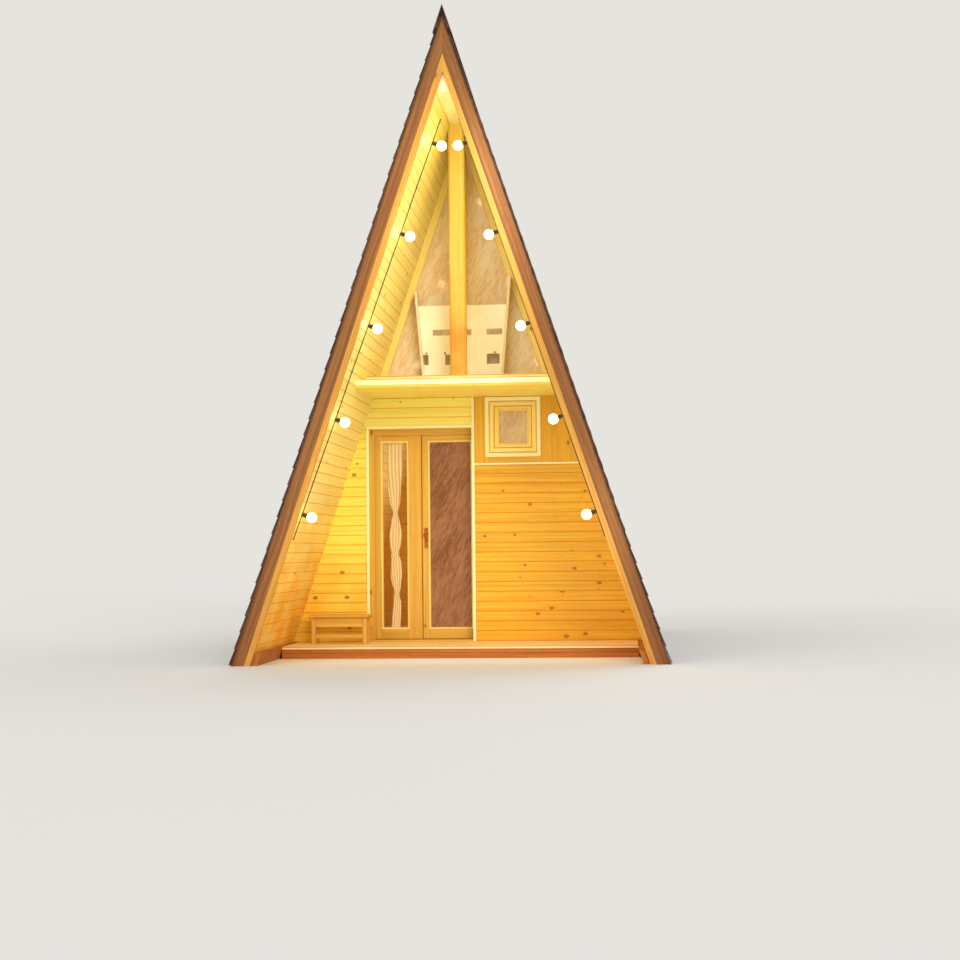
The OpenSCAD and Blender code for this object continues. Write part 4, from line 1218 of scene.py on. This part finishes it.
def gathered_curtain():
    """A pleated cloth gathered at one tie and twisted at two places below it.

    For u across and v down, X is the middle plus u times the width at v, with the pleats bunched by
    a sine of twice their number. Y swings by a sine of the pleats' number, whose phase runs on
    through each twist, so that the folds there cross from side to side.
    """
    across, down = np.meshgrid(np.linspace(-0.5, 0.5, 141), np.linspace(0, 1, 241))
    z = curtain_box.top + (curtain_box.bottom - curtain_box.top) * down
    column = np.interp(z[:, 0], CURTAIN_SHAPE[::-1, 0], CURTAIN_SHAPE[::-1, 1])
    kernel = np.hanning(11) / np.hanning(11).sum()
    width = np.convolve(np.pad(column, 5, mode="edge"), kernel, mode="valid")[:, None]
    twist = sum(0.5 + 0.5 * np.tanh((height - z) / 0.05) for height in TWISTS)
    phase = 2 * math.pi * (CURTAIN_PLEATS * across + 1.1 * twist + 0.15 * np.sin(7 * z))
    depth = (curtain_box.back - curtain_box.front) / 2 - 0.002
    pinch = 0.72 + 0.28 * width / width.max()
    swing = depth * pinch * np.sin(phase + 2.2 * across * np.sin(3 * z))
    # Below the tie the cloth wanders from side to side, and above it leans to the left
    bend = 0.012 * np.sin(2 * math.pi * (z - 0.3) / 1.1) * (z < TIE_Z)
    drift = -0.008 * np.clip((z - TIE_Z) / 0.5, 0, 1)
    bunch = 0.18 * width / CURTAIN_PLEATS * np.sin(2 * phase)
    points = at(curtain_x + drift + bend * 0.6 + across * width + bunch, curtain_y + swing, z)
    rows, columns = z.shape
    row, column = np.mgrid[0:rows - 1, 0:columns - 1]
    here = row * columns + column
    faces = np.stack([here, here + columns, here + columns + 1, here + 1], axis=-1).reshape(-1, 4)
    grain = at((across + 0.5) * CURTAIN_FLAT[0], down * CURTAIN_FLAT[1], 0.0)
    return surface(points, [faces], grain, 0.5 + 0.5 * np.sin(phase), smooth=True)


turn = np.linspace(0, 2 * math.pi, 37)
tie_path = at(
    curtain_x + 0.024 * np.cos(turn), curtain_y + 0.0088 * np.sin(turn),
    TIE_Z - 0.003 + 0.003 * np.sin(turn),
)
hung = {"paint": curtain_cotton, "slot": "curtain_cloth", "body": "left_leaf"}
curtain = put("gathered_curtain", [gathered_curtain()], replaces="door_curtain", **hung)
tie = put("curtain_tie", [tube(tie_path, 0.0028)], **hung)


# Upper storey

# The post is a plan with chamfered corners, whose points rise to the linings or the beam
post = box_of("centre_post")
POST_CHAMFER, POST_FLAT = 0.016, 0.06
post_x = np.array([
    post.left, post.left + POST_CHAMFER, -POST_FLAT, POST_FLAT, post.right - POST_CHAMFER, post.right,
])
post_inset = np.array([POST_CHAMFER, 0, 0, 0, 0, POST_CHAMFER])
plan_x = np.append(post_x, post_x[::-1])
plan_y = np.append(post.front + post_inset, post.back - post_inset)
post_top = np.minimum(BEAM, inner_z(np.abs(plan_x)) - 0.001)
rings = np.stack([at(plan_x, plan_y, post.bottom), at(plan_x, plan_y, post_top)])[None]
grain = rings[..., [2, 0, 1]] * [1, 1, 0] + [3.0, 5.0, 0.0]
put("centre_post_timber", [solids(rings, grain, 0.45)], lit_post_pine, "pine_trim", replaces="centre_post")

gable = box_of("gable_frame")
GABLE_FACE, GABLE_RAIL, BAR, PANE_HEAD = 0.075, 0.085, 0.06, 0.02
GABLE_BEAD = [(0, -0.0305), (0, -0.008), (0.004, -0.006), (0.009, -0.012), (0.009, -0.0305)]
gable_finish = {"thick": gable.back - gable.front, "ease": 0.003, "back": 0.003}
bar_top = inner_z(GABLE_FACE + BAR / 2)
rail_top = DECK_TOP + GABLE_RAIL


def slope_bar(side, seed):
    """The gable's bar beside the lining of one side."""
    return laid(
        0.0, GABLE_FACE, lambda inset: at(side * (inner_x(DECK_TOP) - inset), gable.front, DECK_TOP),
        lambda inset: at(side * (inner_x(bar_top) - inset), gable.front, bar_top),
        (0, 1, 0), seed=seed, **gable_finish,
    )


def gable_beads(side):
    """The beads round one of the gable's panes, which narrows to PANE_HEAD at its top."""
    pane_top = inner_z(GABLE_FACE + BAR / 2 + PANE_HEAD)
    edge = slope(side, GABLE_FACE)
    corners = [
        (side * BAR / 2, rail_top), (edge(rail_top), rail_top), (edge(pane_top), pane_top),
        (side * BAR / 2, pane_top),
    ]
    outline = np.array([(x, gable.front, z) for x, z in corners])
    return moulding(outline[::side], (0, -1, 0), GABLE_BEAD, seed=167)


gable_parts = [slope_bar(side, 160 + side) for side in (-1, 1)] + [
    level_boards(
        (DECK_TOP, rail_top), slope(-1, GABLE_FACE), slope(1, GABLE_FACE), gable.front,
        seed=162, **gable_finish,
    ),
    upright_boards((-BAR / 2, BAR / 2), rail_top, bar_top, gable.front, seed=163, **gable_finish),
    level_boards((bar_top, BEAM), slope(-1), slope(1), gable.front, seed=166, **gable_finish),
] + [gable_beads(side) for side in (-1, 1)]
put("gable_glazing_bars", gable_parts, lit_window_pine, "pine_joinery", replaces="gable_frame")


# Guard

panel = box_of("guard_panel")
GUARD_HALF = 0.39 - FIT
GUARD_EASE = 0.0022
guard_height = panel.top - panel.bottom
splay = (panel.right - GUARD_HALF) / guard_height
# A place outside the guard, for openings that run to its end
EDGE = 1.0
# Openings of the guard: left, right, bottom and top, from its middle and its foot
slots = [(*ends, 0.395, 0.455) for ends in ((-0.305, -0.12), (-0.095, 0.09), (0.245, 0.405))]
holes = [(*ends, 0.095, 0.2) for ends in ((-EDGE, -0.35), (-0.18, -0.05), (0.245, 0.375))]


def pierced_board(openings, height, y, thick, half_at):
    """A board with openings, cut from a grid of X and Z lines.

    The lines run through the openings' edges. Each cell of the grid that lies in no opening has a
    front and a back face, and a wall closes it wherever the next cell is open. half_at gives the
    board's half width at a height, and the grid's outer lines lie on it.
    """
    lefts, rights, bottoms, tops = np.array(openings).T
    xs = np.unique([-EDGE, EDGE, *lefts, *rights])
    zs = np.unique([0.0, height, *bottoms, *tops])
    cell_x, cell_z = np.meshgrid((xs[:-1] + xs[1:]) / 2, (zs[:-1] + zs[1:]) / 2, indexing="ij")
    filled = np.ones(cell_x.shape, bool)
    for left, right, bottom, top in openings:
        filled &= ~((left < cell_x) & (cell_x < right) & (bottom < cell_z) & (cell_z < top))
    grid_x, grid_z = np.meshgrid(xs, zs, indexing="ij")
    grid_x = np.where(np.abs(grid_x) == EDGE, np.sign(grid_x) * half_at(grid_z), grid_x)
    flat = at(grid_x, y, grid_z).reshape(-1, 3)
    points = np.concatenate([flat, flat + [0, thick, 0]])
    back, rows = len(flat), len(zs)
    column, row = np.nonzero(filled)
    a = column * rows + row
    b, c, d = a + rows, a + rows + 1, a + 1
    faces = [np.stack([a, b, c, d], axis=1), np.stack([d, c, b, a], axis=1) + back]
    padded = np.pad(filled, 1)
    for step_x, step_z, one, other in ((0, -1, a, b), (1, 0, b, c), (0, 1, c, d), (-1, 0, d, a)):
        is_open = ~padded[column + 1 + step_x, row + 1 + step_z]
        one, other = one[is_open], other[is_open]
        faces.append(np.stack([other, one, one + back, other + back], axis=1))
    used, faces = np.unique(np.concatenate(faces), return_inverse=True)
    points = points[used]
    grain = points[:, [0, 2, 1]] * [1, 1, 0] + [4.0, 9.0, 0.0]
    return surface(points, [faces.reshape(-1, 4)], grain, np.full(len(points), 0.5))


guard_part = pierced_board(
    slots + holes, guard_height, panel.front, panel.back - panel.front, lambda z: GUARD_HALF + splay * z,
)
guard_part["points"][:, 2] += panel.bottom
guard_board = put("guard_board", [guard_part], cream_paint, "white_paint", replaces="guard_panel")
soften = guard_board.modifiers.new("eased_edges", "BEVEL")
soften.width, soften.segments = GUARD_EASE, 2
soften.limit_method, soften.angle_limit = "ANGLE", math.radians(40)

wings = box_of("guard_wings")
WING, WING_JOINT, WING_GAP = 0.026, 0.102, 0.0015
wing_foot = GUARD_HALF + FIT
wing_joint = wings.front + WING_JOINT
wing_boards = ((wings.front, wing_joint), (wing_joint + WING_GAP, wings.back))
wing_parts = []
# How far each wing rises over the guard
for side, rise in ((-1, 0.15), (1, 0.29)):
    wing_top = panel.top + rise
    wing_head = wing_foot + splay * (wing_top - panel.bottom)
    for index, (y0, y1) in enumerate(wing_boards):
        faces = at(
            side * np.array([wing_foot, wing_head, wing_head, wing_foot]), [y0, y0, y1, y1],
            [panel.bottom, wing_top, wing_top, panel.bottom],
        )
        wing_parts.append(boards(
            faces, (side, 0, 0), WING, ease=GUARD_EASE, back=GUARD_EASE, end_ease=GUARD_EASE,
            seed=170 + index + side,
        ))
rail_half = wing_foot + WING
wing_parts.append(beams(
    (-rail_half, wings.front, DECK_TOP), (rail_half, wings.back, panel.bottom),
    0, 2, ease=0.003, end_ease=0.003, seed=174,
))
put("guard_wing_boards", wing_parts, cream_paint, "white_paint", replaces="guard_wings")
BOLTS, BOLT_UP = (-0.373, -0.181, 0.328), 0.214
bolts = at(BOLTS, panel.front, panel.bottom + BOLT_UP)
put("guard_bolts", [dome(bolts, (0, -1, 0), 0.011)], bronze, "handle_bronze")


# Rear wall

rear, rear_trim = box_of("rear_wall"), box_of("rear_window_frame")
REAR_WINDOW, REAR_UPPER = 0.9, 0.48
lower_sill, upper_head = rear_trim.bottom + WINDOW_TRIM, rear_trim.top - WINDOW_TRIM
lower_hole = (-REAR_WINDOW / 2, REAR_WINDOW / 2, lower_sill, lower_sill + REAR_WINDOW)
upper_hole = (-REAR_UPPER / 2, REAR_UPPER / 2, upper_head - REAR_UPPER, upper_head)
levels = [FLOOR, *lower_hole[2:], *upper_hole[2:], BEAM]
rear_parts = []
for index, zone in enumerate(zip(levels[:-1], levels[1:])):
    opening = {1: lower_hole, 3: upper_hole}.get(index)
    spans = [(slope(-1), opening[0]), (opening[1], slope(1))] if opening else [(slope(-1), slope(1))]
    for part, (left, right) in enumerate(spans):
        rear_parts.append(level_boards(
            courses(*zone), left, right, rear.back, rear.back - rear.front, facing=1, back=0.002,
            seed=180 + 2 * index + part,
        ))
put("rear_wall_boards", rear_parts, pine, "pine_boards", replaces="rear_wall")


def rear_rims(section, grow, seed):
    """A moulding round each of the two rear windows."""
    return [
        rim(opening, rear.back, section, grow, 1, seed + index)
        for index, opening in enumerate((lower_hole, upper_hole))
    ]


put("rear_window_casings", rear_rims(CASING, WINDOW_TRIM, 195), trim_pine, "pine_trim")
put(
    "rear_window_frames", rear_rims(WINDOW_FRAME, 0.0, 197), joinery_pine, "pine_joinery",
    replaces="rear_window_frame",
)


# Lamp strings

GLOBE, GLOBE_SINK, LAMPS = 0.047, 0.004, 5
CABLE, CABLE_SINK = 0.0045, 0.005
# The cable runs past the end lamps by this share of the string, and sags between the lamps
CABLE_OVER, CABLE_SAG = 0.0666, 0.011
# Heights over the lining and radii of a lamp holder and of a cable clip
HOLDER = [
    (0.0, 0.0125), (0.002, 0.0135), (0.012, 0.0135), (0.015, 0.0185), (0.017, 0.0195), (0.024, 0.02),
    (0.026, 0.0188), (0.030, 0.0188), (0.032, 0.02), (0.044, 0.02), (0.046, 0.0188), (0.050, 0.0188),
    (0.0525, 0.02), (0.055, 0.0195), (0.055, 0.012),
]
CLIP = [(0.0, 0.009), (0.008, 0.009), (0.0105, 0.0075), (0.0112, 0.001)]
# A globe's centre and the neck by which its holder takes it
stand = HOLDER[-1][0] + GLOBE - GLOBE_SINK
NECK, NECK_DOWN = (HOLDER[-1][0] - HAIR, 0.0135), 0.044
bend = np.linspace(0, math.pi, 26)
bend = bend[GLOBE * np.cos(bend) < NECK_DOWN]
globe = [NECK, *zip(stand - GLOBE * np.cos(bend), GLOBE * np.sin(bend)), (stand + GLOBE, 0.0006)]

globes = box_of("lamp_bulbs")
globe_z = np.linspace(globes.bottom + GLOBE, globes.top - GLOBE, LAMPS)
globe_y = np.linspace(globes.front + GLOBE, globes.back - GLOBE, LAMPS)
between_lamps = (np.arange(LAMPS - 1) + 0.5) / (LAMPS - 1)
holder_parts, globe_parts, cable_parts = [], [], []
for side in (-1, 1):
    away = np.array([-side * SLOPE_RISE, 0, -SLOPE_RUN])
    feet = at(side * (inner_x(globe_z) - stand / SLOPE_RISE), globe_y, globe_z) - stand * away
    string = feet[-1] - feet[0]
    holder_parts.append(turned(HOLDER, feet, away, sides=28))
    globe_parts.append(turned(globe, feet, away, sides=36))
    share = np.linspace(-CABLE_OVER, 1 + CABLE_OVER, 103)[:, None]
    sag = CABLE_SAG * np.abs(np.sin(share * (LAMPS - 1) * math.pi)) * np.array([0, -1.0, 0])
    cable_parts.append(tube(feet[0] + share * string + CABLE_SINK * away + sag, CABLE))
    clips = feet[0] + between_lamps[:, None] * string - [0, CABLE_SAG, 0]
    cable_parts.append(turned(CLIP, clips, away, sides=14))
put("festoon_cables", cable_parts + holder_parts, black_plastic, "black_cable", replaces="light_string")
put("festoon_globes", globe_parts, globe_glass, "lamp_glass", replaces="lamp_bulbs")


# Porch bench

bench = box_of("porch_bench")
SEAT, SEAT_GAP, LEG, NOSE = 0.032, 0.003, 0.042, 0.02
RAIL, UPPER_RAIL, LOWER_RAIL = 0.022, 0.09, (0.055, 0.095)
seat_z = bench.top - SEAT
middle = (bench.front + bench.back) / 2
leg_x = np.array([bench.left + NOSE, bench.right - NOSE - LEG])
leg_y = np.array([bench.front + NOSE, bench.back - NOSE - LEG])
leg_feet = at(np.repeat(leg_x, 2), np.tile(leg_y, 2), bench.bottom)
leg_size = (LEG, LEG, seat_z - bench.bottom)
rail_y = leg_y[0] + (LEG - RAIL) / 2
rail_levels = ((seat_z - UPPER_RAIL, seat_z), np.add(LOWER_RAIL, bench.bottom))
bench_parts = [
    beams(
        at(bench.left, [bench.front, middle + SEAT_GAP / 2], seat_z),
        at(bench.right, [middle - SEAT_GAP / 2, bench.back], bench.top),
        0, 1, ease=0.004, end_ease=0.004, seed=200,
    ),
    beams(leg_feet, leg_feet + leg_size, 2, 0, ease=0.003, end_ease=0.002, seed=201),
] + [
    beams(
        (leg_x[0] + LEG, rail_y, low), (leg_x[1], rail_y + RAIL, high), 0, 2, ease=0.002,
        seed=202 + index,
    )
    for index, (low, high) in enumerate(rail_levels)
]
put("porch_bench_timber", bench_parts, joinery_pine, "pine_joinery", replaces="porch_bench")


# Stage, light and camera

GROUND_HALF = 60.0
ground_mesh = bpy.data.meshes.new("studio_floor")
corners = [(x * GROUND_HALF, y * GROUND_HALF, 0) for x, y in ((-1, -1), (1, -1), (1, 1), (-1, 1))]
ground_mesh.from_pydata(corners, [], [(0, 1, 2, 3)])
studio_floor = bpy.data.objects.new("studio_floor", ground_mesh)
bpy.context.scene.collection.objects.link(studio_floor)
floor_paint = Finish(
    "Pale_studio_floor", Base_Color=rgb(238, 237, 235), Roughness=0.9, Specular_IOR_Level=0.1,
)
ground_mesh.materials.append(floor_paint.material)

# A soft even light, behind which cameras and mirrors see a pale backdrop
world = bpy.data.worlds.new("studio")
bpy.context.scene.world = world
world.use_nodes = True
sky = Shading(world.node_tree)
sky.nodes.clear()
rays = sky.add("ShaderNodeLightPath").outputs
seen = sky.math("MAXIMUM", rays["Is Camera Ray"], rays["Is Glossy Ray"])
soft_light = sky.add("ShaderNodeBackground", Color=(1.0, 0.985, 0.96, 1.0), Strength=0.55).outputs[0]
backdrop = sky.add("ShaderNodeBackground", Color=rgb(230, 228, 222)).outputs[0]
choice = sky.fill("ShaderNodeMixShader", {}, range(3), (seen, soft_light, backdrop))
sky.add("ShaderNodeOutputWorld", Surface=choice.outputs[0])


def stand_at(name, data, right, up, back, spot):
    """An object at a spot, turned by the directions of its own three axes."""
    thing = bpy.data.objects.new(name, data)
    bpy.context.scene.collection.objects.link(thing)
    place = np.eye(4)
    place[:3] = np.stack([right, up, back, spot], axis=1)
    thing.matrix_world = Matrix(place.tolist())
    return thing


def lamp(name, kind, power, spot, back, **settings):
    """A lamp that shines against a direction, and that no camera or mirror sees."""
    light = bpy.data.lights.new(name, kind)
    light.energy, light.color = power, (1.0, 0.985, 0.95)
    for label, value in settings.items():
        setattr(light, label, value)
    back = unit(np.array(back, float))
    right = unit(np.cross((0, 0, 1) if back[2] < 1 else (0, 1, 0), back))
    holder = stand_at(name, light, right, np.cross(back, right), back, spot)
    holder.visible_camera = holder.visible_glossy = False


def soft_sun(name, azimuth, height, power, softness):
    """A wide far lamp. The azimuth runs from the front (0) towards the right (90), in degrees."""
    turn, rise = math.radians(azimuth), math.radians(height)
    back = (math.sin(turn) * math.cos(rise), -math.cos(turn) * math.cos(rise), math.sin(rise))
    lamp(name, "SUN", power, (0, 0, 0), back, angle=math.radians(softness))


def soft_panel(name, spot, aim, width, height, power):
    """A glowing rectangle close to the cabin, which fills its shaded places."""
    back = np.subtract(spot, aim)
    lamp(name, "AREA", power, spot, back, shape="RECTANGLE", size=width, size_y=height)


soft_sun("key_light", 22, 14, 1.15, 24)
soft_sun("fill_light", -32, 20, 0.85, 40)
soft_sun("rear_light", 160, 42, 0.9, 50)
soft_panel("porch_fill", (0.2, -3.6, 1.0), (0, -1.35, 2.1), 2.6, 1.4, 13)
soft_panel("balcony_fill", (0.2, -3.7, 4.0), (-0.1, -1.35, 4.1), 0.8, 1.8, 14)
soft_panel("guard_fill", (0.0, -1.42, 3.5), (0.0, -1.41, 3.0), 0.8, 0.06, 0.55)
lamp("room_fill", "POINT", 36, (0, 0.9, 1.5), (0, 0, 1), shadow_soft_size=0.3)

# The camera of the photograph, fitted to the model's corners
EYE = (1.6065, -18.489, 1.0342)
YAW, PITCH, ROLL = (math.radians(angle) for angle in (4.8646, 2.4194, -0.5961))
FOCAL_PIXELS, FRAME_PIXELS = 1682.3, 960
forward = np.array([-math.sin(YAW) * math.cos(PITCH), math.cos(YAW) * math.cos(PITCH), math.sin(PITCH)])
level = np.array([math.cos(YAW), math.sin(YAW), 0.0])
right = level * math.cos(ROLL) + np.cross(level, forward) * math.sin(ROLL)
lens = bpy.data.cameras.new("photo_camera")
lens.sensor_width = 36.0
lens.lens = lens.sensor_width * FOCAL_PIXELS / FRAME_PIXELS
camera = stand_at("photo_camera", lens, right, np.cross(right, forward), -forward, EYE)
bpy.context.scene.camera = camera
bpy.context.scene.view_settings.view_transform = "Standard"
